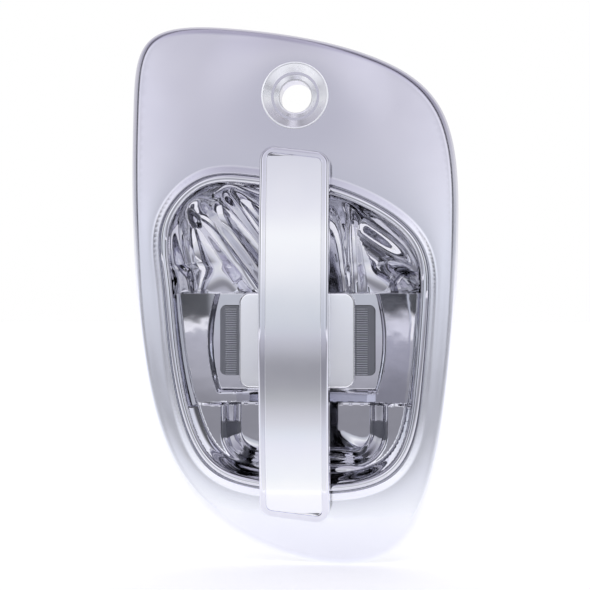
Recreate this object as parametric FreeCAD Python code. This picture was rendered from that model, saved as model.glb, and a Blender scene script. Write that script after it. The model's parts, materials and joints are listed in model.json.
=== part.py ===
"""Pull handle for a vehicle's outer door: bezel with a lock dish, finger cup, sprung grab bar,
courtesy lamp, and the bellcrank that turns the pull into the travel of a latch rod.

Millimetres. +X is right and +Z is up as the outside of the door is faced, and +Y points into the
door. The origin is on the axis of the lock hole, in the plane of the door skin.
"""
import FreeCAD, Part
import math
import os

Vec = FreeCAD.Vector

# ---- Bezel ---------------------------------------------------------------------------------------
PLATE_WIDTH = 150.0
PLATE_HEIGHT = 246.0
PLATE_FRONT = 10.0          # how far the flat of the bezel stands in front of the door skin
PLATE_WALL = 2.5
PLATE_CROWN = 2.0           # rise of the face from its rounded lip to the cup
LIP_RADIUS = 4.0
LAND_WIDTH = 1.5            # flat of the bezel outside the cup's flange
# Control points of a closed cubic spline: the outline from the lock axis, for a 150 x 246 plate
PLATE_NOMINAL = (150.0, 246.0)
PLATE_POLES = ((-76, -58), (-75, -3), (-74, 35), (-23, 32), (33, 22), (73, -1),
               (75, -59), (71, -130), (60, -207), (18, -218), (-38, -199), (-69, -156))
LOCK_RADIUS = 7.35
LOCK_COLLAR_WALL = 2.5
LOCK_COLLAR_BACK = 8.0      # the collar reaches this far into the door
DISH_RADIUS = 14.9
DISH_DEPTH = 4.8
DISH_RING = 1.1             # width of the ring round the dish
DISH_RING_SINK = 0.1        # the ring's face is this far behind the flat of the bezel
DISH_FLOOR_WIDTH = 0.5      # flat left between the dish and the bore
SLOT_PLAY = 0.6             # round the hinge leg's sweep

# ---- Cup -----------------------------------------------------------------------------------------
CUP_WIDTH = 115.0
CUP_HEIGHT = 137.0
CUP_DROP = 39.5             # from the lock's axis down to the top of the mouth
CUP_DEPTH = 31.0            # rim to floor
CUP_WALL = 2.4
# Control points of the mouth from the cup's centre, for a 115 x 137 mouth
CUP_NOMINAL = (115.0, 137.0)
CUP_POLES = ((-56, 25), (-61, 50), (-41, 72), (-14, 66), (16, 66), (58, 44),
             (57, 15), (54, -27), (48, -70), (-11, -68), (-43, -62), (-54, -14))
# How the mouth narrows on its way down: share of the depth, share of the mouth
CUP_TAPER = ((0.0, 1.0), (0.13, 0.985), (0.39, 0.955), (0.68, 0.90), (0.89, 0.82), (1.0, 0.70))
BEAD_WIDTH = 3.8            # rolled rim of the cup, which shows inside the bezel's opening
BEAD_PROUD = 1.0
BEAD_GAP = 0.3
BEAD_ROUND = ((0.0, 1.2), (0.8, 0.3), (1.9, 0.0))    # in from its outer edge, back from its crest
FLANGE_WIDTH = 6.5
FLANGE_THICKNESS = 2.0
BRIDGE_TOP = 18.8           # heights above the cup's centre
BRIDGE_BOTTOM = -33.4
BRIDGE_FLOOR = 14.0         # depth of the bridge's hollow face behind the door skin, at its middle
BRIDGE_EDGE = 4.0           # and at BRIDGE_REACH from the middle
BRIDGE_REACH = 50.0
LEDGE_FLOOR = 6.0           # depth of the step below the bridge, round the channel
CHANNEL_X = 3.0
CHANNEL_WIDTH = 78.0
CHANNEL_BOTTOM = -62.0
CHANNEL_CORNER = 16.0
CHANNEL_FLOOR = 17.0
CHANNEL_INSET = 2.5         # least distance of the channel's wall inside the mouth
LEG_SLOT_PLAY = 0.8

# ---- Seat on the door ----------------------------------------------------------------------------
GASKET_THICKNESS = 1.0
GASKET_WIDTH = 5.7
FRAME_THICKNESS = 2.5
FRAME_INSET = 6.8           # from the bezel's outline
CLEARANCE = 0.4             # between a fixed piece and what passes through it
HOLE_FIT = 0.2              # round a screw or boss that passes through a hole
CLAMP_LAP = 0.5             # the frame's clamp ring stops this far inside the cup flange's edge
SEAL_WIDTH = 2.6
STUD_RADIUS = 3.0
STUD_SHOULDER = 3.4         # radius where the stud passes through the frame
STUD_REACH = 20.0
STUD_HEAD_RADIUS = 5.0
STUD_HEAD_HEIGHT = 1.7
STUD_X = 10.0
STUD_SPACING_X = 68.0
STUD_TOP_Z = -10.0
STUD_SPACING_Z = 176.0
SCREW_RADIUS = 1.45
SCREW_HEAD_RADIUS = 2.8
SCREW_FIT = 0.05
SCREW_END_GAP = 0.3         # between a screw's tip and the end of its blind hole
CUP_SCREW_SKIN = 1.4        # left over the end of a blind hole in the cup's floor
CUP_SCREW_HEAD_HEIGHT = 1.8
LAMP_SCREW_SKIN = 0.9       # and in the bridge
BAR_SCREW_SKIN = 1.2        # and in the bar's face
BOSS_RADIUS = 3.2
# Frame screws: angle about the cup's centre, share of the way across the frame's plate
FRAME_SCREWS = ((42, 0.50), (77, 0.82), (104, 0.80), (132, 0.50), (-88, 0.50), (-54, 0.50))
CUP_SCREW_X = 16.0
CUP_SCREW_RISE = 36.0       # above the cup's centre
STRAP_GAP = 1.0             # behind whichever of the cup and the lamp reaches deeper
STRAP_THICKNESS = 3.0
STRAP_WIDTH = 50.0
STRAP_RIB = 6.0
WEB_THICKNESS = 3.0
STRAP_BELOW_HUB = 5.0       # the strap ends this far below the bellcrank's hub
LUG_FLARE = 2.0             # a bellcrank lug is this much wider where it leaves the strap

# ---- Grab bar ------------------------------------------------------------------------------------
BAR_X = 1.0
BAR_WIDTH = 31.0
BAR_LAP = 14.0              # the bar passes the cup's mouth by this much at each end
BAR_SLANT = 1.9             # both ends drop to the right: half the drop
BAR_CORNER = 6.0
BAR_EDGE_RADIUS = 1.5
BAR_FRONT = 33.0            # height of the bar's crest over the door skin
BAR_RISE = 8.5              # bow of the bar between its ends
BAR_THICKNESS = 11.0
BAR_SIDE_WALL = 2.4
FACE_INSET = 2.75
FACE_GAP = 0.35
FACE_RECESS = 1.2
FACE_PROUD = 0.5
BAR_WEB = 2.2
CORE_THICKNESS = 3.0
COVER_THICKNESS = 2.4
BAR_SCREW_RISES = (66.0, 22.0, -22.0, -66.0)
BAR_SCREW_HEAD_HEIGHT = 1.3
PAD_RADIUS = 2.5
PAD_SPREAD = 8.0
PAD_RECESS = 0.8
PAD_GAP = 0.35              # between a pad and the bezel at rest
PAD_OFFSET = 1.0            # a pad's middle below the cup's flange
CORE_PLAY = 0.6             # between the core and the bar's side walls
COVER_PLAY = 0.3

# ---- Hinge and pull leg --------------------------------------------------------------------------
HINGE_DROP = 7.0            # hinge axis below the middle of the bar's top end
HINGE_Y = 1.5
HINGE_PIN_RADIUS = 2.0
KNUCKLE_RADIUS = 5.0
KNUCKLE_WIDTH = 20.0
HINGE_LEG_THICKNESS = 5.0
PULL_DEGREES = 10.0
RUNNING_FIT = 0.05          # radial clearance of a pin in its bush
SIDE_PLAY = 0.3
BUSH_WALL = 1.2
BUSH_FLANGE = 0.8
BUSH_LENGTH = 8.0
BUSH_RIM = 1.0              # the flange stands out this far round the bush
LUG_THICKNESS = 4.0
SPRING_SPACE = 9.0
SPRING_WIRE = 0.7           # radius
SPRING_BEND = 1.12          # swell of the wire where it bends
LEG_WIDTH = 8.0
LEG_DEPTH = 12.0
LEG_ANGLE = 30.0            # from the hinge's vertical to the pull pin, at rest
PULL_PIN_RADIUS = 2.5
PULL_PIN_HEAD = 1.0
PULL_PIN_RIM = 1.1
SPRING_COIL_GAP = 0.8       # between a pin and the wire coiled round it
SPRING_PITCH = 1.08         # turns stand this share of the wire's width apart
SPRING_OFF_AXIS = 2.2       # the moving arm stands this far out from the coil
SPRING_REACH = 7.0          # the fixed arm goes this far into the door
SPRING_TOUCH = 0.1

# ---- Bellcrank -----------------------------------------------------------------------------------
CRANK_ARM = 36.0
ROD_ARM = 26.0
ROD_RADIUS = 2.1
CRANK_PIN_RADIUS = 3.0
CRANK_HUB_RADIUS = 6.5
CHEEK_THICKNESS = 3.0
CHEEK_GAP = 0.6
CRANK_SPRING_SPACE = 6.5
CRANK_SPRING_WIRE = 0.65
CLIP_THICKNESS = 0.8
CLIP_RIM = 1.7
CLIP_BITE = 0.35            # depth of the clip in the pin's groove
CLIP_MOUTH = 0.55
CLIP_PLAY = 0.05
CLIP_STANDOFF = 0.3         # between the lug and the clip
PIN_HEAD_RIM = 1.2
PIN_HEAD = 1.5
PIN_TAIL = 2.6
PIN_EYE_WALL = 3.4          # of the cheeks round the pull pin
PIN_SLOT_PLAY = 0.6         # along the cheeks' slot
ROD_EYE_RADIUS = 5.2
ROD_CLIP_RADIUS = 3.25
ROD_CLIP_COLLAR = (4.8, 4.0)    # radius and length outside the arm
ROD_CLIP_BARB = (4.0, 1.2)      # and inside it
CRANK_BUSH_RIM = 1.2
CRANK_SPRING_ALONG = 14.0   # where its arm crosses the cheek, from the pivot
CRANK_SPRING_RISE = 6.0
PIN_OVERHANG = 4.0          # room for a pin's head or clip outside its lug

# ---- Courtesy lamp -------------------------------------------------------------------------------
LAMP_X = -0.5
LAMP_RISE = -3.8            # its middle from the cup's centre
CAP_WIDTH = 54.5
CAP_HEIGHT = 44.8
CAP_DEPTH = 7.0
CAP_WALL = 1.8
CAP_CORNER = 5.0
LENS_WIDTH = 72.4
LENS_HEIGHT = 32.4
LENS_PROUD = 3.5
LENS_WALL = 1.8
LENS_CORNER = 2.5
WINDOW_PLAY = 0.3           # round the lens in the cup's window
GASKET_PLAY = 0.2
LENS_INNER_CORNER = 1.0
CAP_EDGE_RADIUS = 1.2
CAP_WINDOW_PLAY = 0.3
POCKET_WIDTH = 81.0
POCKET_HEIGHT = 46.0
LAMP_FLANGE_WIDTH = 84.0
LAMP_FLANGE_HEIGHT = 38.0
LAMP_FLANGE_THICKNESS = 1.8
LAMP_FLANGE_CORNER = 3.0
LAMP_GASKET = 0.8
LAMP_BOX_DEPTH = 7.0
LAMP_BOX_WALL = 1.6
LAMP_BOX_MARGIN = (-0.4, 3.6)   # wider and taller than the lens by this
LAMP_BOX_CORNER = 3.0
LAMP_EAR_THICKNESS = 1.6
LAMP_SCREW_HEAD_HEIGHT = 1.3
BOARD_PLAY = 0.2
BOARD_REST_RADIUS = 1.5
BOARD_REST_SHIFT = 3.0      # rests stand this far in from and beyond the LEDs
LAMP_SCREW_X = 39.3
LAMP_SCREW_Z = 11.0
LAMP_BOSS_RADIUS = 2.1
LAMP_SCREW_RADIUS = 1.1
LAMP_SCREW_HEAD = 2.2
BOARD_THICKNESS = 1.2
BOARD_STANDOFF = 0.6
LED_SIZE = (3.5, 1.4, 2.8)
LED_X = 31.0
LED_STEP = 10.0
RESISTOR_SIZE = (3.2, 0.6, 1.6)
RESISTOR_X = 12.0
GROMMET_X = -20.0
GROMMET_RADIUS = 1.9
GROMMET_BORE = 1.0
GROMMET_RIM = 2.4
GROMMET_RIM_THICKNESS = 0.7
GROMMET_LENGTH = 4.0
GROMMET_TAPER = 0.6
GROMMET_SHIFT = 0.2         # its axis from the middle of the tray's depth

# ---- Places worked out from the sizes above -------------------------------------------------------
RING_POINTS = 120
OVER = 2.0                  # how far a cutting solid runs past what it cuts
SINK = 0.5                  # how far a solid runs into the one it joins
FAR = 100.0                 # past the end of any piece
SAME = 0.01                 # places closer than this are one
RIM_Y = -(PLATE_FRONT + BEAD_PROUD)
CUP_Z = -(CUP_DROP + CUP_HEIGHT / 2)
SEAT_Y = -(PLATE_FRONT - PLATE_WALL)
CLAMP_Y = SEAT_Y + FLANGE_THICKNESS
FRAME_BACK = -GASKET_THICKNESS
FRAME_FRONT = FRAME_BACK - FRAME_THICKNESS
CUP_FLOOR = RIM_Y + CUP_DEPTH
BAR_LENGTH = CUP_HEIGHT + 2 * BAR_LAP
BAR_RADIUS = ((BAR_LENGTH / 2) ** 2 + BAR_RISE ** 2) / (2 * BAR_RISE)
BAR_AXIS_Y = BAR_RADIUS - BAR_FRONT
CHANNEL_DEPTH = FACE_RECESS + BAR_WEB
CORE_BACK = BAR_THICKNESS - COVER_THICKNESS
CORE_FRONT = CORE_BACK - CORE_THICKNESS
HINGE_Z = CUP_Z + BAR_LENGTH / 2 - HINGE_DROP
LEG_RADIUS = HINGE_Z - CUP_Z + (CUP_HEIGHT / 2 - BRIDGE_BOTTOM) / 2
WEB_Z = HINGE_Z + KNUCKLE_RADIUS + OVER
LAMP_Z = CUP_Z + LAMP_RISE
POCKET_TOP = CUP_Z + BRIDGE_TOP
LAMP_BACK = BRIDGE_FLOOR + CUP_WALL
LENS_BACK = LAMP_BACK + LAMP_GASKET + LAMP_FLANGE_THICKNESS
BOX_BACK = LENS_BACK + LAMP_BOX_DEPTH
STRAP_FRONT = max(CUP_FLOOR + CUP_WALL, BOX_BACK) + STRAP_GAP
STRAP_BACK = STRAP_FRONT + STRAP_THICKNESS
BOARD_BACK = BOX_BACK - LAMP_BOX_WALL - BOARD_STANDOFF
BOARD_FRONT = BOARD_BACK - BOARD_THICKNESS
LAMP_BOX_WIDTH = LENS_WIDTH + LAMP_BOX_MARGIN[0]
LAMP_BOX_HEIGHT = LENS_HEIGHT + LAMP_BOX_MARGIN[1]
CHEEK_INNER = LEG_WIDTH / 2 + CHEEK_GAP
CHEEK_OUTER = CHEEK_INNER + CHEEK_THICKNESS


# ---- Shape helpers --------------------------------------------------------------------------------
def union(shapes):
    """One solid from several that overlap."""
    joined = shapes[0].fuse(list(shapes[1:]))
    return joined.removeSplitter()


def block(x, y, z):
    """A box from three (low, high) pairs."""
    return Part.makeBox(x[1] - x[0], y[1] - y[0], z[1] - z[0], Vec(x[0], y[0], z[0]))


def cylinder_x(radius, x, y, z):
    """A cylinder along X between the two values of x."""
    return Part.makeCylinder(radius, x[1] - x[0], Vec(x[0], y, z), Vec(1, 0, 0))


def cylinder_y(radius, x, y, z):
    """A cylinder along Y between the two values of y."""
    return Part.makeCylinder(radius, y[1] - y[0], Vec(x, y[0], z), Vec(0, 1, 0))


def tube_x(outer, inner, x, y, z):
    """A tube along X."""
    return cylinder_x(outer, x, y, z).cut(cylinder_x(inner, (x[0] - OVER, x[1] + OVER), y, z))


def spline_points(poles, count):
    """Points round a closed uniform cubic spline."""
    points = []
    for step in range(count):
        t = step * len(poles) / count
        first = int(t)
        u = t - first
        weights = ((1 - u) ** 3, 3 * u ** 3 - 6 * u ** 2 + 4, -3 * u ** 3 + 3 * u ** 2 + 3 * u + 1, u ** 3)
        near = [poles[(first + k) % len(poles)] for k in range(4)]
        points.append(tuple(sum(w * p[axis] for w, p in zip(weights, near)) / 6 for axis in (0, 1)))
    return points


def ring(poles, grow=0.0):
    """Radii of a closed outline at equal angles about the cup's centre, moved out by grow."""
    points = spline_points(poles, RING_POINTS * 6)
    polar = []
    for index, (x, z) in enumerate(points):
        before = points[index - 1]
        after = points[(index + 1) % len(points)]
        along = math.hypot(after[0] - before[0], after[1] - before[1])
        x_out = x - grow * (after[1] - before[1]) / along
        z_out = z + grow * (after[0] - before[0]) / along - CUP_Z
        polar.append((math.atan2(z_out, x_out) % (2 * math.pi), math.hypot(x_out, z_out)))
    polar.sort()
    polar = [(polar[-1][0] - 2 * math.pi, polar[-1][1])] + polar + [(polar[0][0] + 2 * math.pi, polar[0][1])]
    radii = []
    place = 0
    for step in range(RING_POINTS):
        angle = 2 * math.pi * step / RING_POINTS
        while polar[place + 1][0] < angle:
            place += 1
        (low, near), (high, far) = polar[place], polar[place + 1]
        radii.append(near + (far - near) * (angle - low) / (high - low))
    return radii


def plate_ring(grow=0.0):
    """The bezel's outline as radii."""
    wide, tall = PLATE_WIDTH / PLATE_NOMINAL[0], PLATE_HEIGHT / PLATE_NOMINAL[1]
    return ring([(x * wide, z * tall) for x, z in PLATE_POLES], grow)


def mouth_ring(grow=0.0):
    """The cup's mouth as radii."""
    wide, tall = CUP_WIDTH / CUP_NOMINAL[0], CUP_HEIGHT / CUP_NOMINAL[1]
    return ring([(x * wide, z * tall + CUP_Z) for x, z in CUP_POLES], grow)


def ring_point(radii, degrees):
    """The point (x, z) of a ring at an angle about the cup's centre."""
    place = (degrees % 360) * RING_POINTS / 360
    low = int(place) % RING_POINTS
    radius = radii[low] + (radii[(low + 1) % RING_POINTS] - radii[low]) * (place - int(place))
    angle = math.radians(degrees)
    return radius * math.cos(angle), CUP_Z + radius * math.sin(angle)


def between(inner, outer, share):
    """A ring part of the way from one ring to another."""
    return [a + (b - a) * share for a, b in zip(inner, outer)]


def ring_wire(radii, y):
    """A closed smooth wire through a ring, in the plane at y."""
    points = []
    for step, radius in enumerate(radii):
        angle = 2 * math.pi * step / RING_POINTS
        points.append(Vec(radius * math.cos(angle), y, CUP_Z + radius * math.sin(angle)))
    curve = Part.BSplineCurve()
    curve.interpolate(Points=points, PeriodicFlag=True)
    return Part.Wire([curve.toShape()])


def loft(sections):
    """A closed solid through (ring, y) sections."""
    return Part.makeLoft([ring_wire(radii, y) for radii, y in sections], True, True)


def ring_prism(radii, y):
    """A flat plate with a ring's outline between the two values of y."""
    return Part.Face(ring_wire(radii, y[0])).extrude(Vec(0, y[1] - y[0], 0))


def rounded_prism(corners, radius, y):
    """A convex polygon in XZ with rounded corners, extruded between the two values of y."""
    count = len(corners)
    points = [Vec(x, y[0], z) for x, z in corners]
    arcs = []
    for index in range(count):
        corner = points[index]
        back = (points[index - 1] - corner).normalize()
        ahead = (points[(index + 1) % count] - corner).normalize()
        half = back.getAngle(ahead) / 2
        reach = radius / math.tan(half)
        middle = (back + ahead).normalize()
        top = corner + middle * (radius / math.sin(half) - radius)
        arcs.append((corner + back * reach, top, corner + ahead * reach))
    edges = []
    for index, (start, top, end) in enumerate(arcs):
        edges.append(Part.Arc(start, top, end).toShape())
        edges.append(Part.LineSegment(end, arcs[(index + 1) % count][0]).toShape())
    return Part.Face(Part.Wire(edges)).extrude(Vec(0, y[1] - y[0], 0))


def rounded_block(x, z, width, height, radius, y):
    """A rounded rectangle about (x, z), extruded between the two values of y."""
    w, h = width / 2, height / 2
    corners = ((x - w, z - h), (x + w, z - h), (x + w, z + h), (x - w, z + h))
    return rounded_prism(corners, radius, y)


def link_x(start, start_radius, end, end_radius, x):
    """A flat link with round ends between two (y, z) centres, lying across X."""
    dy, dz = end[0] - start[0], end[1] - start[1]
    span = math.hypot(dy, dz)
    lean = math.asin((start_radius - end_radius) / span)
    along = math.atan2(dz, dy)
    corners = []
    for side, centre, radius in ((1, start, start_radius), (1, end, end_radius),
                                 (-1, end, end_radius), (-1, start, start_radius)):
        angle = along + side * (math.pi / 2 - lean)
        corners.append(Vec(x[0], centre[0] + radius * math.cos(angle), centre[1] + radius * math.sin(angle)))
    web = Part.Face(Part.makePolygon(corners + corners[:1])).extrude(Vec(x[1] - x[0], 0, 0))
    return union([web, cylinder_x(start_radius, x, *start), cylinder_x(end_radius, x, *end)])


# ---- Places that several pieces share --------------------------------------------------------------
def hinge_point(radius, degrees):
    """(y, z) at an angle from straight down about the hinge axis, turning into the door."""
    angle = math.radians(degrees)
    return HINGE_Y + radius * math.sin(angle), HINGE_Z - radius * math.cos(angle)


def crank_centre():
    """(y, z) of the bellcrank's pivot: square to the middle of the pull pin's path."""
    (y0, z0), (y1, z1) = hinge_point(LEG_RADIUS, LEG_ANGLE), hinge_point(LEG_RADIUS, LEG_ANGLE - PULL_DEGREES)
    span = math.hypot(y1 - y0, z1 - z0)
    across = ((z1 - z0) / span, (y0 - y1) / span)
    return (y0 + y1) / 2 + CRANK_ARM * across[0], (z0 + z1) / 2 + CRANK_ARM * across[1]


def crank_swing():
    """Degrees that the bellcrank turns over the whole pull."""
    half_path = LEG_RADIUS * math.sin(math.radians(PULL_DEGREES / 2))
    return 2 * math.degrees(math.atan(half_path / CRANK_ARM))


def rod_eye():
    """(y, z) of the latch rod's eye at rest: level with the pivot at half pull."""
    y, z = crank_centre()
    angle = math.radians(crank_swing() / 2)
    return y + ROD_ARM * math.cos(angle), z + ROD_ARM * math.sin(angle)


def frame_screw_places():
    """(x, z) of the screws that hold the bezel to the frame."""
    inner, outer = mouth_ring(FLANGE_WIDTH + BOSS_RADIUS + SIDE_PLAY), plate_ring(-FRAME_INSET)
    return [ring_point(between(inner, outer, share), angle) for angle, share in FRAME_SCREWS]


def stud_places():
    """(x, z) of the four studs."""
    columns = (STUD_X - STUD_SPACING_X / 2, STUD_X + STUD_SPACING_X / 2)
    return [(x, z) for x in columns for z in (STUD_TOP_Z, STUD_TOP_Z - STUD_SPACING_Z)]


def cup_screw_places():
    """(x, z) of the screws that hold the cup to the strap."""
    return [(BAR_X + side * CUP_SCREW_X, CUP_Z + CUP_SCREW_RISE) for side in (-1, 1)]


def lamp_screw_places():
    """(x, z) of the lamp's four screws."""
    return [(LAMP_X + a * LAMP_SCREW_X, LAMP_Z + b * LAMP_SCREW_Z) for a in (-1, 1) for b in (-1, 1)]


def bar_depth_y(depth, rise):
    """The y of the bar's surface, or one inside it, at a height over the cup's centre."""
    return BAR_AXIS_Y - math.sqrt((BAR_RADIUS - depth) ** 2 - rise ** 2)


def bar_layer(inset, front, back):
    """The bar's outline, moved in by inset, between two depths under its bowed face."""
    half_w, half_l = BAR_WIDTH / 2 - inset, BAR_LENGTH / 2 - inset
    slant = BAR_SLANT * half_w / (BAR_WIDTH / 2)
    corners = ((BAR_X - half_w, CUP_Z - half_l + slant), (BAR_X + half_w, CUP_Z - half_l - slant),
               (BAR_X + half_w, CUP_Z + half_l - slant), (BAR_X - half_w, CUP_Z + half_l + slant))
    blank = rounded_prism(corners, BAR_CORNER - inset, (-BAR_FRONT - OVER, OVER))
    across = (BAR_X - BAR_WIDTH, BAR_X + BAR_WIDTH)
    kept = blank.common(cylinder_x(BAR_RADIUS - front, across, BAR_AXIS_Y, CUP_Z))
    return kept.cut(cylinder_x(BAR_RADIUS - back, across, BAR_AXIS_Y, CUP_Z))


def screw(x, z, seat, tip, head_height, radius=SCREW_RADIUS, head=SCREW_HEAD_RADIUS):
    """A pan-head screw along Y with its head behind the seat."""
    return union([cylinder_y(radius, x, (tip, seat), z), cylinder_y(head, x, (seat, seat + head_height), z)])


# ---- Fixed pieces: bezel, cup and frame -------------------------------------------------------------
def bezel_shell(inset):
    """The bezel's outer form, or with an inset the hollow inside it."""
    base = PLATE_FRONT - PLATE_CROWN - LIP_RADIUS
    steps = [(0.0, GASKET_THICKNESS), (0.0, base)]
    for degrees in (22.5, 45, 67.5, 90):
        angle = math.radians(degrees)
        steps.append((LIP_RADIUS * (1 - math.cos(angle)), base + LIP_RADIUS * math.sin(angle)))
    sections = [(plate_ring(-step - inset), inset - height) for step, height in steps]
    lip = plate_ring(-LIP_RADIUS - inset)
    land = mouth_ring(FLANGE_WIDTH + LAND_WIDTH)
    for share in (0.25, 0.5, 0.75, 1.0):
        height = PLATE_FRONT - PLATE_CROWN + PLATE_CROWN * math.sin(share * math.pi / 2)
        sections.append((between(lip, land, share), inset - height))
    return loft(sections)


def hinge_slot(play):
    """The space that the hinge leg sweeps through the bezel."""
    sweep = (PLATE_FRONT + HINGE_Y) * math.sin(math.radians(PULL_DEGREES))
    half = HINGE_LEG_THICKNESS / 2 + play
    x = (BAR_X - KNUCKLE_WIDTH / 2 - play, BAR_X + KNUCKLE_WIDTH / 2 + play)
    return block(x, (-PLATE_FRONT - OVER, HINGE_Y), (HINGE_Z - half, HINGE_Z + half + sweep))


def hinge_space():
    """Room round the knuckle, its spring and its lugs, cut from the frame and the cup's flange."""
    low, high = hinge_lugs_x()
    x = (low[0] - PIN_OVERHANG, high[1] + PIN_OVERHANG)
    radius = KNUCKLE_RADIUS + CLEARANCE
    return block(x, (SEAT_Y - OVER, HINGE_Y + radius), (HINGE_Z - radius, HINGE_Z + radius))


def bezel():
    """Chrome-plated escutcheon: crowned shell, lock dish and collar, screw bosses."""
    body = bezel_shell(0.0).cut(bezel_shell(PLATE_WALL))
    face = PLATE_FRONT - DISH_RING_SINK
    ring_seat = cylinder_y(DISH_RADIUS + DISH_RING, 0, (-face, -PLATE_FRONT + DISH_DEPTH), 0)
    back = -PLATE_FRONT + DISH_DEPTH + PLATE_WALL
    dish_back = Part.makeCone(DISH_RADIUS + DISH_RING, LOCK_RADIUS + LOCK_COLLAR_WALL, back - SEAT_Y,
                              Vec(0, SEAT_Y, 0), Vec(0, 1, 0))
    collar = cylinder_y(LOCK_RADIUS + LOCK_COLLAR_WALL, 0, (SEAT_Y, LOCK_COLLAR_BACK), 0)
    pieces = [body, ring_seat.common(cylinder_y(FAR, 0, (-face, SEAT_Y), 0)), dish_back, collar]
    for x, z in frame_screw_places():
        pieces.append(cylinder_y(BOSS_RADIUS, x, (SEAT_Y - SINK, FRAME_FRONT), z))
    shape = union(pieces)
    dish = Part.makeCone(DISH_RADIUS, LOCK_RADIUS + DISH_FLOOR_WIDTH, DISH_DEPTH,
                         Vec(0, -face, 0), Vec(0, 1, 0))
    cuts = [dish, cylinder_y(LOCK_RADIUS, 0, (-PLATE_FRONT - OVER, LOCK_COLLAR_BACK + OVER), 0),
            ring_prism(mouth_ring(BEAD_WIDTH + BEAD_GAP), (-PLATE_FRONT - OVER, OVER)), hinge_slot(SLOT_PLAY)]
    for x, z in frame_screw_places():
        cuts.append(cylinder_y(SCREW_RADIUS + SCREW_FIT, x, (SEAT_Y, FRAME_FRONT + OVER), z))
    return shape.cut(cuts)


def arc_hollow(wall, z):
    """Everything in front of the bridge's hollow face, between the two values of z."""
    deep, edge_y, front_y = BRIDGE_FLOOR + wall, BRIDGE_EDGE + wall, RIM_Y - OVER
    arc = Part.Arc(Vec(-BRIDGE_REACH, edge_y, z[0]), Vec(0, deep, z[0]), Vec(BRIDGE_REACH, edge_y, z[0]))
    corners = [arc.EndPoint, Vec(CUP_WIDTH, edge_y, z[0]), Vec(CUP_WIDTH, front_y, z[0]),
               Vec(-CUP_WIDTH, front_y, z[0]), Vec(-CUP_WIDTH, edge_y, z[0]), arc.StartPoint]
    edges = [arc.toShape()] + [Part.LineSegment(a, b).toShape() for a, b in zip(corners, corners[1:])]
    return Part.Face(Part.Wire(edges)).extrude(Vec(0, 0, z[1] - z[0]))


def channel_form(wall):
    """The deep channel below the bridge, which the pull leg passes through."""
    top = CUP_Z + BRIDGE_BOTTOM + wall
    low = CUP_Z + CHANNEL_BOTTOM - wall
    height = top - low + 2 * CHANNEL_CORNER
    y = (RIM_Y, CHANNEL_FLOOR + wall)
    blank = rounded_block(CHANNEL_X, low + height / 2, CHANNEL_WIDTH + 2 * wall, height,
                          CHANNEL_CORNER + wall, y)
    below_bridge = block((-CUP_WIDTH, CUP_WIDTH), (RIM_Y - OVER, CHANNEL_FLOOR + wall), (low - OVER, top))
    return blank.common(below_bridge).common(ring_prism(mouth_ring(wall - CHANNEL_INSET), y))


def cup_form(wall):
    """The cup's hollow, or with a wall the outside of it."""
    start = SEAT_Y if wall else RIM_Y - OVER
    rings = [([radius * share + wall for radius in mouth_ring()], RIM_Y + CUP_DEPTH * depth + wall)
             for depth, share in CUP_TAPER]
    bowl = loft([(rings[0][0], start)] + [section for section in rings if section[1] > start + SINK])
    wide = (-CUP_WIDTH, CUP_WIDTH)
    front, back = RIM_Y - OVER, CUP_FLOOR + wall + OVER
    bridge_low, bridge_top = CUP_Z + BRIDGE_BOTTOM, CUP_Z + BRIDGE_TOP
    pocket = block((-POCKET_WIDTH / 2 - wall, POCKET_WIDTH / 2 + wall), (front, BRIDGE_FLOOR + wall),
                   (max(POCKET_TOP - POCKET_HEIGHT - wall, bridge_low), bridge_top))
    upper = block(wide, (front, back), (bridge_top - wall, CUP_Z + CUP_HEIGHT))
    lower = block(wide, (front, LEDGE_FLOOR + wall), (CUP_Z - CUP_HEIGHT, bridge_low + wall))
    room = union([arc_hollow(wall, (bridge_low, bridge_top)), pocket, upper, lower])
    return union([bowl.common(room), channel_form(wall)])


def cup():
    """Chrome-plated finger cup: bowl, bridge, channel, rolled rim and seating flange."""
    flange = ring_prism(mouth_ring(FLANGE_WIDTH), (SEAT_Y, CLAMP_Y))
    bead_steps = [(BEAD_WIDTH, SEAT_Y + SINK)]
    bead_steps += [(BEAD_WIDTH - step, RIM_Y + back) for step, back in BEAD_ROUND]
    bead = loft([(mouth_ring(grow), y) for grow, y in bead_steps])
    outside = union([flange.cut(hinge_space()), bead, cup_form(CUP_WALL)])
    for x, z in cup_screw_places():
        outside = outside.fuse(cylinder_y(BOSS_RADIUS, x, (CUP_FLOOR + SINK, STRAP_FRONT), z))
    for x, z in lamp_screw_places():
        outside = outside.fuse(cylinder_y(LAMP_BOSS_RADIUS, x, (BRIDGE_FLOOR + SINK, LENS_BACK), z))
    shape = outside.cut(cup_form(0.0))
    cuts = [rounded_block(LAMP_X, LAMP_Z, LENS_WIDTH + 2 * WINDOW_PLAY, LENS_HEIGHT + 2 * WINDOW_PLAY,
                          LENS_CORNER + WINDOW_PLAY, (RIM_Y, CUP_FLOOR + OVER)), leg_slot()]
    for x, z in cup_screw_places():
        cuts.append(cylinder_y(SCREW_RADIUS + SCREW_FIT, x,
                               (CUP_FLOOR + CUP_SCREW_SKIN, STRAP_FRONT + OVER), z))
    for x, z in lamp_screw_places():
        hole = (BRIDGE_FLOOR + LAMP_SCREW_SKIN, LENS_BACK + OVER)
        cuts.append(cylinder_y(LAMP_SCREW_RADIUS + SCREW_FIT, x, hole, z))
    return shape.cut(cuts).removeSplitter()


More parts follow.
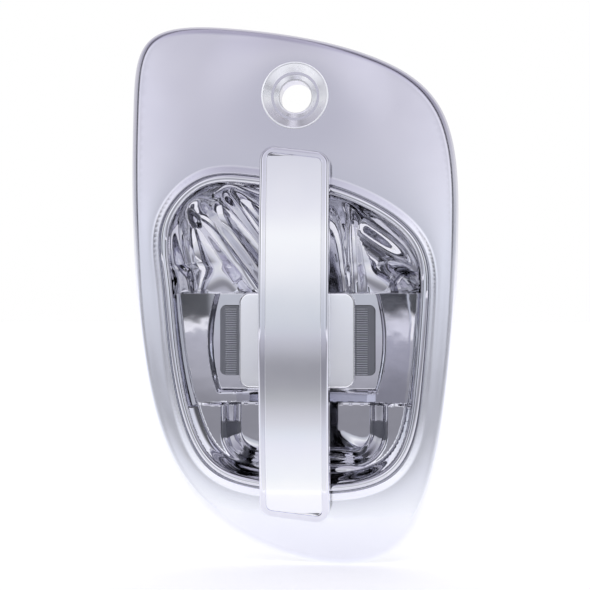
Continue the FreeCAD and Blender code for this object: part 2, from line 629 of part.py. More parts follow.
def leg_slot():
    """The space that the pull leg slides through in the cup's floor."""
    play = LEG_SLOT_PLAY
    x = (BAR_X - LEG_WIDTH / 2 - play, BAR_X + LEG_WIDTH / 2 + play)
    outer = cylinder_x(LEG_RADIUS + LEG_DEPTH / 2 + play, x, HINGE_Y, HINGE_Z)
    inner = cylinder_x(LEG_RADIUS - LEG_DEPTH / 2 - play, x, HINGE_Y, HINGE_Z)
    return outer.cut(inner).common(block(x, (CHANNEL_FLOOR - OVER, CHANNEL_FLOOR + CUP_WALL + OVER),
                                         (HINGE_Z - 2 * LEG_RADIUS, HINGE_Z)))


def hinge_lugs_x():
    """The X spans of the frame's two hinge lugs, one each side of the knuckle and spring."""
    half = KNUCKLE_WIDTH / 2 + BUSH_FLANGE + SIDE_PLAY
    left = BAR_X - half
    right = BAR_X + half + SPRING_SPACE
    return (left - LUG_THICKNESS, left), (right, right + LUG_THICKNESS)


def crank_lugs_x():
    """The X spans of the frame's two bellcrank lugs."""
    half = CHEEK_OUTER + BUSH_FLANGE + SIDE_PLAY
    left = BAR_X - half - CRANK_SPRING_SPACE
    right = BAR_X + half
    return (left - LUG_THICKNESS, left), (right, right + LUG_THICKNESS)


def mounting_frame():
    """Die-cast chassis: seat plate, clamp ring, hinge lugs, and the strap with the bellcrank's lugs."""
    plate = ring_prism(plate_ring(-FRAME_INSET), (FRAME_FRONT, FRAME_BACK))
    clamp = ring_prism(mouth_ring(FLANGE_WIDTH - CLAMP_LAP), (CLAMP_Y, FRAME_FRONT))
    flat = plate.fuse(clamp).cut([ring_prism(mouth_ring(CUP_WALL + CLEARANCE), (CLAMP_Y - OVER, OVER)),
                                  hinge_space()])
    side = (BAR_X - STRAP_WIDTH / 2, BAR_X + STRAP_WIDTH / 2)
    crank_y, crank_z = crank_centre()
    strap_low = crank_z - CRANK_HUB_RADIUS - STRAP_BELOW_HUB
    web = block(side, (FRAME_FRONT, STRAP_BACK), (WEB_Z, WEB_Z + WEB_THICKNESS))
    strap = block(side, (STRAP_FRONT, STRAP_BACK), (strap_low, WEB_Z + WEB_THICKNESS))
    pieces = [flat, web, strap]
    for edge in (side[0], side[1] - WEB_THICKNESS):
        pieces.append(block((edge, edge + WEB_THICKNESS), (STRAP_BACK - SINK, STRAP_BACK + STRAP_RIB),
                            (strap_low, WEB_Z + WEB_THICKNESS)))
    for x in hinge_lugs_x():
        lug = cylinder_x(KNUCKLE_RADIUS, x, HINGE_Y, HINGE_Z)
        foot = block(x, (HINGE_Y - KNUCKLE_RADIUS, HINGE_Y + KNUCKLE_RADIUS), (HINGE_Z, WEB_Z + SINK))
        pieces.append(lug.fuse(foot).common(block(x, (FRAME_FRONT, FAR), (-FAR, WEB_Z + WEB_THICKNESS))))
    for x in crank_lugs_x():
        foot_radius = CRANK_HUB_RADIUS + LUG_FLARE
        lug = link_x((crank_y, crank_z), CRANK_HUB_RADIUS, (STRAP_FRONT, crank_z), foot_radius, x)
        pieces.append(lug.common(block(x, (STRAP_FRONT, crank_y + FAR), (crank_z - FAR, crank_z + FAR))))
    shape = union(pieces)
    cuts = [cylinder_y(LOCK_RADIUS + LOCK_COLLAR_WALL + CLEARANCE, 0, (FRAME_FRONT - OVER, OVER), 0),
            Part.makeCone(DISH_RADIUS + DISH_RING + CLEARANCE, LOCK_RADIUS + LOCK_COLLAR_WALL + CLEARANCE,
                          PLATE_WALL + CLEARANCE, Vec(0, FRAME_FRONT - OVER, 0), Vec(0, 1, 0))]
    cuts += [cylinder_y(STUD_SHOULDER + SCREW_FIT, x, (FRAME_FRONT - OVER, OVER), z) for x, z in stud_places()]
    cuts += [countersunk(x, z, HOLE_FIT, FRAME_FRONT - OVER) for x, z in frame_screw_places()]
    cuts += [cylinder_y(SCREW_RADIUS + HOLE_FIT, x, (STRAP_FRONT - OVER, STRAP_BACK + OVER), z)
             for x, z in cup_screw_places()]
    low, high = hinge_lugs_x()
    cuts.append(cylinder_x(HINGE_PIN_RADIUS + RUNNING_FIT, (low[0] - OVER, high[1] + OVER), HINGE_Y, HINGE_Z))
    low, high = crank_lugs_x()
    cuts.append(cylinder_x(CRANK_PIN_RADIUS + RUNNING_FIT, (low[0] - OVER, high[1] + OVER), crank_y, crank_z))
    return shape.cut(cuts)


def countersunk(x, z, grow, tip):
    """A countersunk screw in the frame's plate down to its tip, or with grow the hole for it."""
    head = Part.makeCone(SCREW_RADIUS + grow, SCREW_HEAD_RADIUS + grow, SCREW_HEAD_RADIUS - SCREW_RADIUS,
                         Vec(x, FRAME_BACK - SCREW_HEAD_RADIUS + SCREW_RADIUS, z), Vec(0, 1, 0))
    shank = cylinder_y(SCREW_RADIUS + grow, x, (tip, FRAME_BACK - SINK), z)
    return union([head, shank])


def frame_screws():
    """Countersunk screws from the frame into the bezel's bosses."""
    return Part.makeCompound([countersunk(x, z, 0.0, SEAT_Y + SCREW_END_GAP) for x, z in frame_screw_places()])


def cup_screws():
    """Pan-head screws from the strap into the cup's bosses."""
    tip = CUP_FLOOR + CUP_SCREW_SKIN + SCREW_END_GAP
    places = cup_screw_places()
    return Part.makeCompound([screw(x, z, STRAP_BACK, tip, CUP_SCREW_HEAD_HEIGHT) for x, z in places])


def mounting_studs():
    """Four studs with flat heads held between the frame and the bezel."""
    studs = []
    for x, z in stud_places():
        head = cylinder_y(STUD_HEAD_RADIUS, x, (FRAME_FRONT - STUD_HEAD_HEIGHT, FRAME_FRONT), z)
        shoulder = cylinder_y(STUD_SHOULDER, x, (FRAME_FRONT - SINK, FRAME_BACK), z)
        studs.append(union([head, shoulder, cylinder_y(STUD_RADIUS, x, (FRAME_BACK - SINK, STUD_REACH), z)]))
    return Part.makeCompound(studs)


def door_gasket():
    """Foam seal between the bezel's foot and the door skin."""
    outer = ring_prism(plate_ring(-CLEARANCE), (-GASKET_THICKNESS, 0.0))
    return outer.cut(ring_prism(plate_ring(-CLEARANCE - GASKET_WIDTH), (-GASKET_THICKNESS - OVER, OVER)))


def lock_collar_seal():
    """Ring seal round the lock collar, behind the frame."""
    radius = LOCK_RADIUS + LOCK_COLLAR_WALL
    seal = cylinder_y(radius + SEAL_WIDTH, 0, (FRAME_BACK, 0.0), 0)
    return seal.cut(cylinder_y(radius + SCREW_FIT, 0, (FRAME_BACK - OVER, OVER), 0))


# ---- Grab bar: everything that swings on the hinge ----------------------------------------------------
def handle_bar():
    """Chrome shell of the bar: bowed, rounded in front, open at the back."""
    blank = bar_layer(0.0, 0.0, BAR_THICKNESS)
    front = [edge for edge in blank.Edges
             if all(abs(math.hypot(v.Y - BAR_AXIS_Y, v.Z - CUP_Z) - BAR_RADIUS) < SAME for v in edge.Vertexes)]
    shell = blank.makeFillet(BAR_EDGE_RADIUS, front)
    shell = shell.cut([bar_layer(FACE_INSET, -OVER, FACE_RECESS),
                       bar_layer(BAR_SIDE_WALL, CHANNEL_DEPTH, BAR_THICKNESS + OVER)])
    room = bar_layer(BAR_SIDE_WALL, CHANNEL_DEPTH - SINK, CORE_FRONT)
    for rise in BAR_SCREW_RISES:
        boss = cylinder_y(BOSS_RADIUS, BAR_X, (-BAR_FRONT, 0), CUP_Z + rise).common(room)
        shell = shell.fuse(boss)
    for rise in BAR_SCREW_RISES:
        tip = bar_depth_y(FACE_RECESS + BAR_SCREW_SKIN, rise)
        shell = shell.cut(cylinder_y(SCREW_RADIUS + SCREW_FIT, BAR_X, (tip, 0), CUP_Z + rise))
    return shell.removeSplitter()


def handle_face_plate():
    """Bright inlay on the front of the bar."""
    return bar_layer(FACE_INSET + FACE_GAP, -FACE_PROUD, FACE_RECESS)


def leg_room(play):
    """Where the hinge leg and the pull leg pass through the back cover."""
    half = HINGE_LEG_THICKNESS / 2 + play
    hinge = block((BAR_X - KNUCKLE_WIDTH / 2 - play, BAR_X + KNUCKLE_WIDTH / 2 + play), (-BAR_FRONT, HINGE_Y),
                  (HINGE_Z - half, HINGE_Z + half))
    x = (BAR_X - LEG_WIDTH / 2 - play, BAR_X + LEG_WIDTH / 2 + play)
    arc = cylinder_x(LEG_RADIUS + LEG_DEPTH / 2 + play, x, HINGE_Y, HINGE_Z)
    arc = arc.cut(cylinder_x(LEG_RADIUS - LEG_DEPTH / 2 - play, x, HINGE_Y, HINGE_Z))
    start, end = hinge_point(LEG_RADIUS, 0), hinge_point(LEG_RADIUS, LEG_ANGLE)
    arc = arc.common(block(x, (-BAR_FRONT, end[0]), (start[1] - LEG_DEPTH, end[1] + LEG_DEPTH)))
    return hinge, arc


def handle_core():
    """Cast strap inside the bar with the hinge leg, its knuckle and the curved pull leg."""
    strap = bar_layer(BAR_SIDE_WALL + CORE_PLAY, CORE_FRONT, CORE_BACK)
    hinge, arc = leg_room(0.0)
    knuckle_x = (BAR_X - KNUCKLE_WIDTH / 2, BAR_X + KNUCKLE_WIDTH / 2)
    knuckle = cylinder_x(KNUCKLE_RADIUS, knuckle_x, HINGE_Y, HINGE_Z)
    x = (BAR_X - LEG_WIDTH / 2, BAR_X + LEG_WIDTH / 2)
    pin_y, pin_z = hinge_point(LEG_RADIUS, LEG_ANGLE)
    eye = cylinder_x(LEG_DEPTH / 2, x, pin_y, pin_z)
    across = (BAR_X - BAR_WIDTH, BAR_X + BAR_WIDTH)
    behind = cylinder_x(BAR_RADIUS - CORE_FRONT - SINK, across, BAR_AXIS_Y, CUP_Z)
    far_y, far_z = hinge_point(2 * LEG_RADIUS, LEG_ANGLE)
    wedge = [Vec(x[0] - OVER, y, z) for y, z in ((HINGE_Y, HINGE_Z), (far_y, far_z), (far_y + FAR, HINGE_Z))]
    past_pin = Part.Face(Part.makePolygon(wedge + wedge[:1])).extrude(Vec(LEG_WIDTH + 2 * OVER, 0, 0))
    legs = [hinge.common(behind), arc.common(behind).cut(past_pin), knuckle, eye]
    shape = union([strap] + legs)
    cuts = [cylinder_x(HINGE_PIN_RADIUS + RUNNING_FIT + BUSH_WALL + SCREW_FIT, across, HINGE_Y, HINGE_Z),
            cylinder_x(PULL_PIN_RADIUS + SCREW_FIT, across, pin_y, pin_z)]
    cuts += [cylinder_y(SCREW_RADIUS + HOLE_FIT, BAR_X, (-BAR_FRONT, 0), CUP_Z + rise)
             for rise in BAR_SCREW_RISES]
    return shape.cut(cuts)


def screw_seat_y(rise):
    """The y of the counterbore's floor in the back cover."""
    return bar_depth_y(BAR_THICKNESS, rise) - BAR_SCREW_HEAD_HEIGHT


def pad_places():
    """(x, rise) of the two stop pads, which meet the bezel just below the cup's flange."""
    rise = ring_point(mouth_ring(FLANGE_WIDTH + PAD_OFFSET), -90)[1] - CUP_Z
    return [(BAR_X + side * PAD_SPREAD, rise) for side in (-1, 1)]


def handle_back_cover():
    """Closes the back of the bar, with counterbores for its screws and recesses for the stop pads."""
    shape = bar_layer(BAR_SIDE_WALL, CORE_BACK, BAR_THICKNESS)
    cuts = list(leg_room(COVER_PLAY))
    for rise in BAR_SCREW_RISES:
        cuts.append(cylinder_y(SCREW_HEAD_RADIUS + HOLE_FIT, BAR_X, (screw_seat_y(rise), 0), CUP_Z + rise))
        cuts.append(cylinder_y(SCREW_RADIUS + HOLE_FIT, BAR_X, (-BAR_FRONT, 0), CUP_Z + rise))
    for x, rise in pad_places():
        floor = bar_depth_y(BAR_THICKNESS, rise) - PAD_RECESS
        cuts.append(cylinder_y(PAD_RADIUS + SCREW_FIT, x, (floor, 0), CUP_Z + rise))
    return shape.cut(cuts)


def handle_screws():
    """Screws that clamp the cover and the core to the bar's bosses."""
    screws = []
    for rise in BAR_SCREW_RISES:
        tip = bar_depth_y(FACE_RECESS + BAR_SCREW_SKIN + SCREW_END_GAP, rise)
        screws.append(screw(BAR_X, CUP_Z + rise, screw_seat_y(rise), tip, BAR_SCREW_HEAD_HEIGHT - HOLE_FIT))
    return Part.makeCompound(screws)


def bar_stop_pads():
    """Rubber pads that land on the bezel when the bar shuts."""
    pads = []
    for x, rise in pad_places():
        floor = bar_depth_y(BAR_THICKNESS, rise) - PAD_RECESS
        pads.append(cylinder_y(PAD_RADIUS, x, (floor, -PLATE_FRONT - PAD_GAP), CUP_Z + rise))
    return Part.makeCompound(pads)


def hinge_bushes():
    """Two flanged bushes in the knuckle."""
    inner = HINGE_PIN_RADIUS + RUNNING_FIT
    outer = inner + BUSH_WALL
    bushes = []
    for side in (-1, 1):
        face = BAR_X + side * KNUCKLE_WIDTH / 2
        body = sorted((face, face - side * BUSH_LENGTH))
        rim = sorted((face, face + side * BUSH_FLANGE))
        solid = union([cylinder_x(outer, body, HINGE_Y, HINGE_Z),
                       cylinder_x(outer + BUSH_RIM, rim, HINGE_Y, HINGE_Z)])
        bushes.append(solid.cut(cylinder_x(inner, (face - FAR, face + FAR), HINGE_Y, HINGE_Z)))
    return Part.makeCompound(bushes)


def pull_pin():
    """Cross pin at the end of the pull leg, headed outside the bellcrank's cheeks."""
    y, z = hinge_point(LEG_RADIUS, LEG_ANGLE)
    half = CHEEK_OUTER + SIDE_PLAY
    heads = [cylinder_x(PULL_PIN_RADIUS + PULL_PIN_RIM, (BAR_X + a, BAR_X + a + PULL_PIN_HEAD), y, z)
             for a in (-half - PULL_PIN_HEAD, half)]
    return union([cylinder_x(PULL_PIN_RADIUS, (BAR_X - half - SINK, BAR_X + half + SINK), y, z)] + heads)


# ---- Pins, clips and springs ---------------------------------------------------------------------------
def headed_pin(radius, x, y, z):
    """A pin along X through two lugs, headed on the left and grooved for a clip on the right."""
    start = x[1] + CLIP_STANDOFF
    head = cylinder_x(radius + PIN_HEAD_RIM, (x[0] - PIN_HEAD, x[0]), y, z)
    shank = cylinder_x(radius, (x[0] - SINK, x[1] + PIN_TAIL), y, z)
    groove = tube_x(radius + OVER, radius - CLIP_BITE - CLIP_PLAY,
                    (start - CLIP_PLAY, start + CLIP_THICKNESS + CLIP_PLAY), y, z)
    return union([head, shank]).cut(groove)


def pin_clip(radius, x, y, z):
    """A spring clip in a pin's groove: a washer with a slot to push it on."""
    start = x[1] + CLIP_STANDOFF
    washer = tube_x(radius + CLIP_RIM, radius - CLIP_BITE, (start, start + CLIP_THICKNESS), y, z)
    half = radius - CLIP_MOUTH
    mouth = block((start - OVER, start + OVER), (y, y + radius + CLIP_RIM + OVER), (z - half, z + half))
    return washer.cut(mouth)


def hinge_span():
    """The X span of the two hinge lugs together."""
    low, high = hinge_lugs_x()
    return low[0], high[1]


def crank_span():
    """The X span of the two bellcrank lugs together."""
    low, high = crank_lugs_x()
    return low[0], high[1]


def hinge_pin():
    """The pin that the bar swings on."""
    return headed_pin(HINGE_PIN_RADIUS, hinge_span(), HINGE_Y, HINGE_Z)


def hinge_pin_clip():
    """Keeps the hinge pin in its lugs."""
    return pin_clip(HINGE_PIN_RADIUS, hinge_span(), HINGE_Y, HINGE_Z)


def crank_pin():
    """The pin that the bellcrank turns on."""
    return headed_pin(CRANK_PIN_RADIUS, crank_span(), *crank_centre())


def crank_pin_clip():
    """Keeps the bellcrank's pin in its lugs."""
    return pin_clip(CRANK_PIN_RADIUS, crank_span(), *crank_centre())


def bar_between(start, end, radius):
    """A round wire from one point to another."""
    return Part.makeCylinder(radius, (end - start).Length, start, end - start)


def torsion_spring(mean, wire, x, centre, fixed_tip, moving_tip):
    """A coil along X about (y, z), with a straight arm at each end, given as (x, y, z) tips."""
    y, z = centre
    length = x[1] - x[0] - 2 * wire
    turns = int(length / (2 * wire * SPRING_PITCH))
    coil_path = Part.makeHelix(length / turns, length, mean)
    spine = Part.Wire(coil_path.Edges)
    profile = Part.Wire([Part.makeCircle(wire, Vec(mean, 0, 0), Vec(0, 1, 0))])
    coil = spine.makePipeShell([profile], True, True)
    coil.rotate(Vec(0, 0, 0), Vec(0, 1, 0), 90)
    coil.translate(Vec(x[0] + wire, y, z))
    ends = [Vec(x[0] + wire, y, z - mean), Vec(x[1] - wire, y, z - mean)]
    arms = []
    for end, tips in zip(ends, (moving_tip, fixed_tip)):
        last = end
        for tip in tips:
            along = (Vec(*tip) - last).normalize()
            arms += [Part.makeSphere(wire * SPRING_BEND, last),
                     bar_between(last + along * wire / 3, Vec(*tip), wire)]
            last = Vec(*tip)
    return union([coil] + arms)


def handle_return_spring():
    """Torsion spring on the hinge pin: one arm under the web, one over the hinge leg."""
    low, high = hinge_lugs_x()
    x = (high[0] - SPRING_SPACE + CLEARANCE, high[0] - CLEARANCE)
    mean = HINGE_PIN_RADIUS + RUNNING_FIT + SPRING_WIRE + SPRING_COIL_GAP
    low_z = HINGE_Z - mean
    fixed_x, fixed_y = x[1] - SPRING_WIRE, HINGE_Y + SPRING_REACH
    fixed = [(fixed_x, fixed_y, low_z), (fixed_x, fixed_y, WEB_Z - SPRING_WIRE)]
    top = HINGE_Z + HINGE_LEG_THICKNESS / 2 + SPRING_WIRE + SPRING_TOUCH
    moving_x, moving_y = x[0] + SPRING_WIRE, HINGE_Y - mean - SPRING_OFF_AXIS
    moving = [(moving_x, moving_y, low_z), (moving_x, moving_y, top),
              (BAR_X + KNUCKLE_WIDTH / 2 - KNUCKLE_RADIUS / 2, moving_y, top)]
    return torsion_spring(mean, SPRING_WIRE, x, (HINGE_Y, HINGE_Z), fixed, moving)


def bellcrank_spring():
    """Torsion spring on the bellcrank's pin: one arm on the strap, one over the cheek."""
    y, z = crank_centre()
    low, high = crank_lugs_x()
    x = (low[1] + SIDE_PLAY, low[1] + CRANK_SPRING_SPACE - SIDE_PLAY)
    mean = CRANK_PIN_RADIUS + RUNNING_FIT + CRANK_SPRING_WIRE + SPRING_COIL_GAP
    fixed_x = x[0] + CRANK_SPRING_WIRE
    fixed = [(fixed_x, y - CRANK_SPRING_RISE, z - mean), (fixed_x, STRAP_BACK + CRANK_SPRING_WIRE, z)]
    pin = hinge_point(LEG_RADIUS, LEG_ANGLE)
    reach = math.hypot(pin[0] - y, pin[1] - z)
    along, across = (pin[0] - y) / reach, (pin[1] - z) / reach
    off = CRANK_HUB_RADIUS + CRANK_SPRING_WIRE + SPRING_TOUCH
    edge = (x[1] - CRANK_SPRING_WIRE, y + CRANK_SPRING_ALONG * along + off * across,
            z + CRANK_SPRING_ALONG * across - off * along)
    moving = [edge, (BAR_X - CHEEK_INNER - SPRING_COIL_GAP, edge[1], edge[2])]
    return torsion_spring(mean, CRANK_SPRING_WIRE, x, (y, z), moving, fixed)


# ---- Bellcrank -------------------------------------------------------------------------------------------
def bellcrank():
    """Forked lever: two cheeks that take the pull pin, a hub, and the arm that drives the latch rod."""
    centre, pin, eye = crank_centre(), hinge_point(LEG_RADIUS, LEG_ANGLE), rod_eye()
    left = (BAR_X - CHEEK_OUTER, BAR_X - CHEEK_INNER)
    right = (BAR_X + CHEEK_INNER, BAR_X + CHEEK_OUTER)
    pieces = [cylinder_x(CRANK_HUB_RADIUS, (left[0], right[1]), *centre)]
    pieces += [link_x(centre, CRANK_HUB_RADIUS, pin, PULL_PIN_RADIUS + PIN_EYE_WALL, x)
               for x in (left, right)]
    pieces.append(link_x(centre, CRANK_HUB_RADIUS, eye, ROD_EYE_RADIUS, right))
    shape = union(pieces)
    reach = math.hypot(pin[0] - centre[0], pin[1] - centre[1])
    toward = ((centre[0] - pin[0]) / reach, (centre[1] - pin[1]) / reach)
    travel = reach - CRANK_ARM + 2 * PIN_SLOT_PLAY
    across = (BAR_X - FAR, BAR_X + FAR)
    cuts = [cylinder_x(CRANK_PIN_RADIUS + RUNNING_FIT + BUSH_WALL + SCREW_FIT, across, *centre),
            cylinder_x(ROD_CLIP_RADIUS + SCREW_FIT, across, *eye)]
    slot_end = (pin[0] + toward[0] * travel, pin[1] + toward[1] * travel)
    slot_start = (pin[0] - toward[0] * PIN_SLOT_PLAY, pin[1] - toward[1] * PIN_SLOT_PLAY)
    cuts.append(link_x(slot_start, PULL_PIN_RADIUS + SIDE_PLAY, slot_end, PULL_PIN_RADIUS + SIDE_PLAY, across))
    return shape.cut(cuts)


def bellcrank_bush():
    """Flanged bush through the bellcrank's hub."""
    centre = crank_centre()
    inner = CRANK_PIN_RADIUS + RUNNING_FIT
    outer = inner + BUSH_WALL
    left, right = BAR_X - CHEEK_OUTER, BAR_X + CHEEK_OUTER
    solid = union([cylinder_x(outer, (left, right), *centre),
                   cylinder_x(outer + CRANK_BUSH_RIM, (left - BUSH_FLANGE, left), *centre),
                   cylinder_x(outer + CRANK_BUSH_RIM, (right, right + BUSH_FLANGE), *centre)])
    return solid.cut(cylinder_x(inner, (left - FAR, right + FAR), *centre))


def rod_clip():
    """Snap clip in the rod arm's eye, bored for the cranked end of a latch rod."""
    eye = rod_eye()
    inner_face = BAR_X + CHEEK_INNER
    outer_face = BAR_X + CHEEK_OUTER
    solid = union([cylinder_x(ROD_CLIP_RADIUS, (inner_face, outer_face), *eye),
                   cylinder_x(ROD_CLIP_COLLAR[0], (outer_face, outer_face + ROD_CLIP_COLLAR[1]), *eye),
                   cylinder_x(ROD_CLIP_BARB[0], (inner_face - ROD_CLIP_BARB[1], inner_face), *eye)])
    return solid.cut(cylinder_x(ROD_RADIUS, (BAR_X - FAR, BAR_X + FAR), *eye))


# ---- Courtesy lamp ------------------------------------------------------------------------------------
def lamp_cap():
    """Chrome cap over the lamp, open at both sides where the lens comes out."""
    front = BRIDGE_FLOOR - CAP_DEPTH
    outer = rounded_block(LAMP_X, LAMP_Z, CAP_WIDTH, CAP_HEIGHT, CAP_CORNER, (front, BRIDGE_FLOOR))
    edges = [edge for edge in outer.Edges if all(abs(v.Y - front) < SAME for v in edge.Vertexes)]
    outer = outer.makeFillet(CAP_EDGE_RADIUS, edges)
    inner = rounded_block(LAMP_X, LAMP_Z, CAP_WIDTH - 2 * CAP_WALL, CAP_HEIGHT - 2 * CAP_WALL,
                          CAP_CORNER - CAP_WALL, (front + CAP_WALL, BRIDGE_FLOOR + OVER))
    half = LENS_HEIGHT / 2 + CAP_WINDOW_PLAY
    sides = block((LAMP_X - CAP_WIDTH, LAMP_X + CAP_WIDTH),
                  (BRIDGE_FLOOR - LENS_PROUD - CAP_WINDOW_PLAY, BRIDGE_FLOOR + OVER),
                  (LAMP_Z - half, LAMP_Z + half))
    return outer.cut([inner, sides])


def lamp_lens():
    """Clear lens: a shallow tray that shows at both sides of the cap, with a flange behind the cup."""
    front = BRIDGE_FLOOR - LENS_PROUD
    flange_y = (LAMP_BACK + LAMP_GASKET, LENS_BACK)
    solid = union([rounded_block(LAMP_X, LAMP_Z, LENS_WIDTH, LENS_HEIGHT, LENS_CORNER, (front, LENS_BACK)),
                   rounded_block(LAMP_X, LAMP_Z, LAMP_FLANGE_WIDTH, LAMP_FLANGE_HEIGHT, LAMP_FLANGE_CORNER,
                                 flange_y)])
    hollow = rounded_block(LAMP_X, LAMP_Z, LENS_WIDTH - 2 * LENS_WALL, LENS_HEIGHT - 2 * LENS_WALL,
                           LENS_INNER_CORNER, (front + LENS_WALL, LENS_BACK + OVER))
    return solid.cut([hollow] + lamp_boss_holes())


def lamp_boss_holes():
    """Clearance for the cup's lamp bosses."""
    return [cylinder_y(LAMP_BOSS_RADIUS + HOLE_FIT, x, (BRIDGE_FLOOR, LENS_BACK + OVER), z)
            for x, z in lamp_screw_places()]


def lamp_gasket():
    """Seal between the lens flange and the back of the cup."""
    solid = rounded_block(LAMP_X, LAMP_Z, LAMP_FLANGE_WIDTH, LAMP_FLANGE_HEIGHT, LAMP_FLANGE_CORNER,
                          (LAMP_BACK, LAMP_BACK + LAMP_GASKET))
    window = rounded_block(LAMP_X, LAMP_Z, LENS_WIDTH + 2 * GASKET_PLAY, LENS_HEIGHT + 2 * GASKET_PLAY,
                           LENS_CORNER, (LAMP_BACK - OVER, LENS_BACK))
    return solid.cut([window] + lamp_boss_holes())


def lamp_housing():
    """White tray behind the lens with a screw ear plate, board rests and a hole for the grommet."""
    ears = rounded_block(LAMP_X, LAMP_Z, LAMP_FLANGE_WIDTH, LAMP_FLANGE_HEIGHT, LAMP_FLANGE_CORNER,
                         (LENS_BACK, LENS_BACK + LAMP_EAR_THICKNESS))
    tray = rounded_block(LAMP_X, LAMP_Z, LAMP_BOX_WIDTH, LAMP_BOX_HEIGHT, LAMP_BOX_CORNER,
                         (LENS_BACK, BOX_BACK))
    hollow = rounded_block(LAMP_X, LAMP_Z,
                           LAMP_BOX_WIDTH - 2 * LAMP_BOX_WALL, LAMP_BOX_HEIGHT - 2 * LAMP_BOX_WALL,
                           LAMP_BOX_CORNER - LAMP_BOX_WALL, (LENS_BACK - OVER, BOX_BACK - LAMP_BOX_WALL))
    shape = union([ears, tray]).cut(hollow)
    for side_x in (-1, 1):
        for side_z in (-1, 1):
            x = LAMP_X + side_x * (LED_X - BOARD_REST_SHIFT)
            z = LAMP_Z + side_z * (LED_STEP + BOARD_REST_SHIFT)
            shape = shape.fuse(cylinder_y(BOARD_REST_RADIUS, x, (BOARD_BACK, BOX_BACK - SINK), z))
    ear_y = (LENS_BACK - OVER, LENS_BACK + LAMP_EAR_THICKNESS + OVER)
    cuts = [cylinder_y(LAMP_SCREW_RADIUS + HOLE_FIT, x, ear_y, z)
            for x, z in lamp_screw_places()]
    low = LAMP_Z - LAMP_BOX_HEIGHT / 2
    cuts.append(Part.makeCylinder(GROMMET_RADIUS, LAMP_BOX_WALL + 2 * OVER,
                                  Vec(GROMMET_X, grommet_y(), low - OVER)))
    cuts.append(block(grommet_room_x(), (LENS_BACK - OVER, BOX_BACK), (low - OVER, low)))
    return shape.cut(cuts)


def grommet_room_x():
    """The X span that the grommet's rims need."""
    return GROMMET_X - GROMMET_RIM - CLEARANCE, GROMMET_X + GROMMET_RIM + CLEARANCE


def grommet_y():
    """The y of the grommet's axis: midway between the lens flange and the tray's back wall."""
    return (LENS_BACK + BOX_BACK - LAMP_BOX_WALL) / 2 + GROMMET_SHIFT


def wire_grommet():
    """Rubber gland in the tray's lower wall, where the lamp's lead leaves."""
    low = LAMP_Z - LAMP_BOX_HEIGHT / 2
    y = grommet_y()
    inside = Part.makeCylinder(GROMMET_RIM, GROMMET_RIM_THICKNESS, Vec(GROMMET_X, y, low + LAMP_BOX_WALL))
    neck = Part.makeCylinder(GROMMET_RADIUS - SCREW_FIT, LAMP_BOX_WALL + 2 * SINK,
                             Vec(GROMMET_X, y, low - SINK))
    outside = Part.makeCone(GROMMET_RIM - GROMMET_TAPER, GROMMET_RIM, GROMMET_LENGTH,
                            Vec(GROMMET_X, y, low - GROMMET_LENGTH))
    bore = Part.makeCylinder(GROMMET_BORE, FAR, Vec(GROMMET_X, y, low - FAR / 2))
    return union([inside, neck, outside]).cut(bore)


def lamp_screws():
    """Four screws from the tray's ears into the cup's bosses."""
    seat = LENS_BACK + LAMP_EAR_THICKNESS
    tip = BRIDGE_FLOOR + LAMP_SCREW_SKIN + SCREW_END_GAP
    return Part.makeCompound([screw(x, z, seat, tip, LAMP_SCREW_HEAD_HEIGHT, LAMP_SCREW_RADIUS, LAMP_SCREW_HEAD)
                              for x, z in lamp_screw_places()])


def lamp_board():
    """Printed circuit board on the tray's rests."""
    inset = 2 * (LAMP_BOX_WALL + BOARD_PLAY)
    width, height = LAMP_BOX_WIDTH - inset, LAMP_BOX_HEIGHT - inset
    board = rounded_block(LAMP_X, LAMP_Z, width, height, LAMP_BOX_CORNER - LAMP_BOX_WALL,
                          (BOARD_FRONT, BOARD_BACK))
    low = LAMP_Z - height / 2
    return board.cut(block(grommet_room_x(), (BOARD_FRONT - OVER, BOARD_BACK + OVER),
                           (low - OVER, low + GROMMET_RIM_THICKNESS + OVER)))


def board_parts(size, places):
    """Small boxes that stand on the board's front face."""
    wide, deep, tall = size
    return Part.makeCompound([block((x - wide / 2, x + wide / 2), (BOARD_FRONT - deep, BOARD_FRONT),
                                    (z - tall / 2, z + tall / 2)) for x, z in places])


def lamp_leds():
    """Three LEDs behind each visible strip of the lens."""
    return board_parts(LED_SIZE, [(LAMP_X + side * LED_X, LAMP_Z + k * LED_STEP)
                                  for side in (-1, 1) for k in (-1, 0, 1)])


def lamp_resistors():
    """One series resistor for each string of LEDs."""
    return board_parts(RESISTOR_SIZE, [(LAMP_X + side * RESISTOR_X, LAMP_Z) for side in (-1, 1)])


PIECES = {
    "bezel": bezel,
    "cup": cup,
    "mounting_frame": mounting_frame,
    "frame_screws": frame_screws,
    "cup_screws": cup_screws,
    "mounting_studs": mounting_studs,
    "door_gasket": door_gasket,
    "lock_collar_seal": lock_collar_seal,
    "handle_bar": handle_bar,
    "handle_face_plate": handle_face_plate,
    "handle_core": handle_core,
    "handle_back_cover": handle_back_cover,
    "handle_screws": handle_screws,
    "bar_stop_pads": bar_stop_pads,
    "hinge_bushes": hinge_bushes,
    "hinge_pin": hinge_pin,
    "hinge_pin_clip": hinge_pin_clip,
    "handle_return_spring": handle_return_spring,
    "pull_pin": pull_pin,
    "bellcrank": bellcrank,
    "bellcrank_bush": bellcrank_bush,
    "bellcrank_pin": crank_pin,
    "bellcrank_pin_clip": crank_pin_clip,
    "bellcrank_spring": bellcrank_spring,
    "rod_clip": rod_clip,
    "lamp_cap": lamp_cap,
    "lamp_lens": lamp_lens,
    "lamp_gasket": lamp_gasket,
    "lamp_housing": lamp_housing,
    "lamp_screws": lamp_screws,
    "lamp_board": lamp_board,
    "lamp_leds": lamp_leds,
    "lamp_resistors": lamp_resistors,
    "wire_grommet": wire_grommet,
}

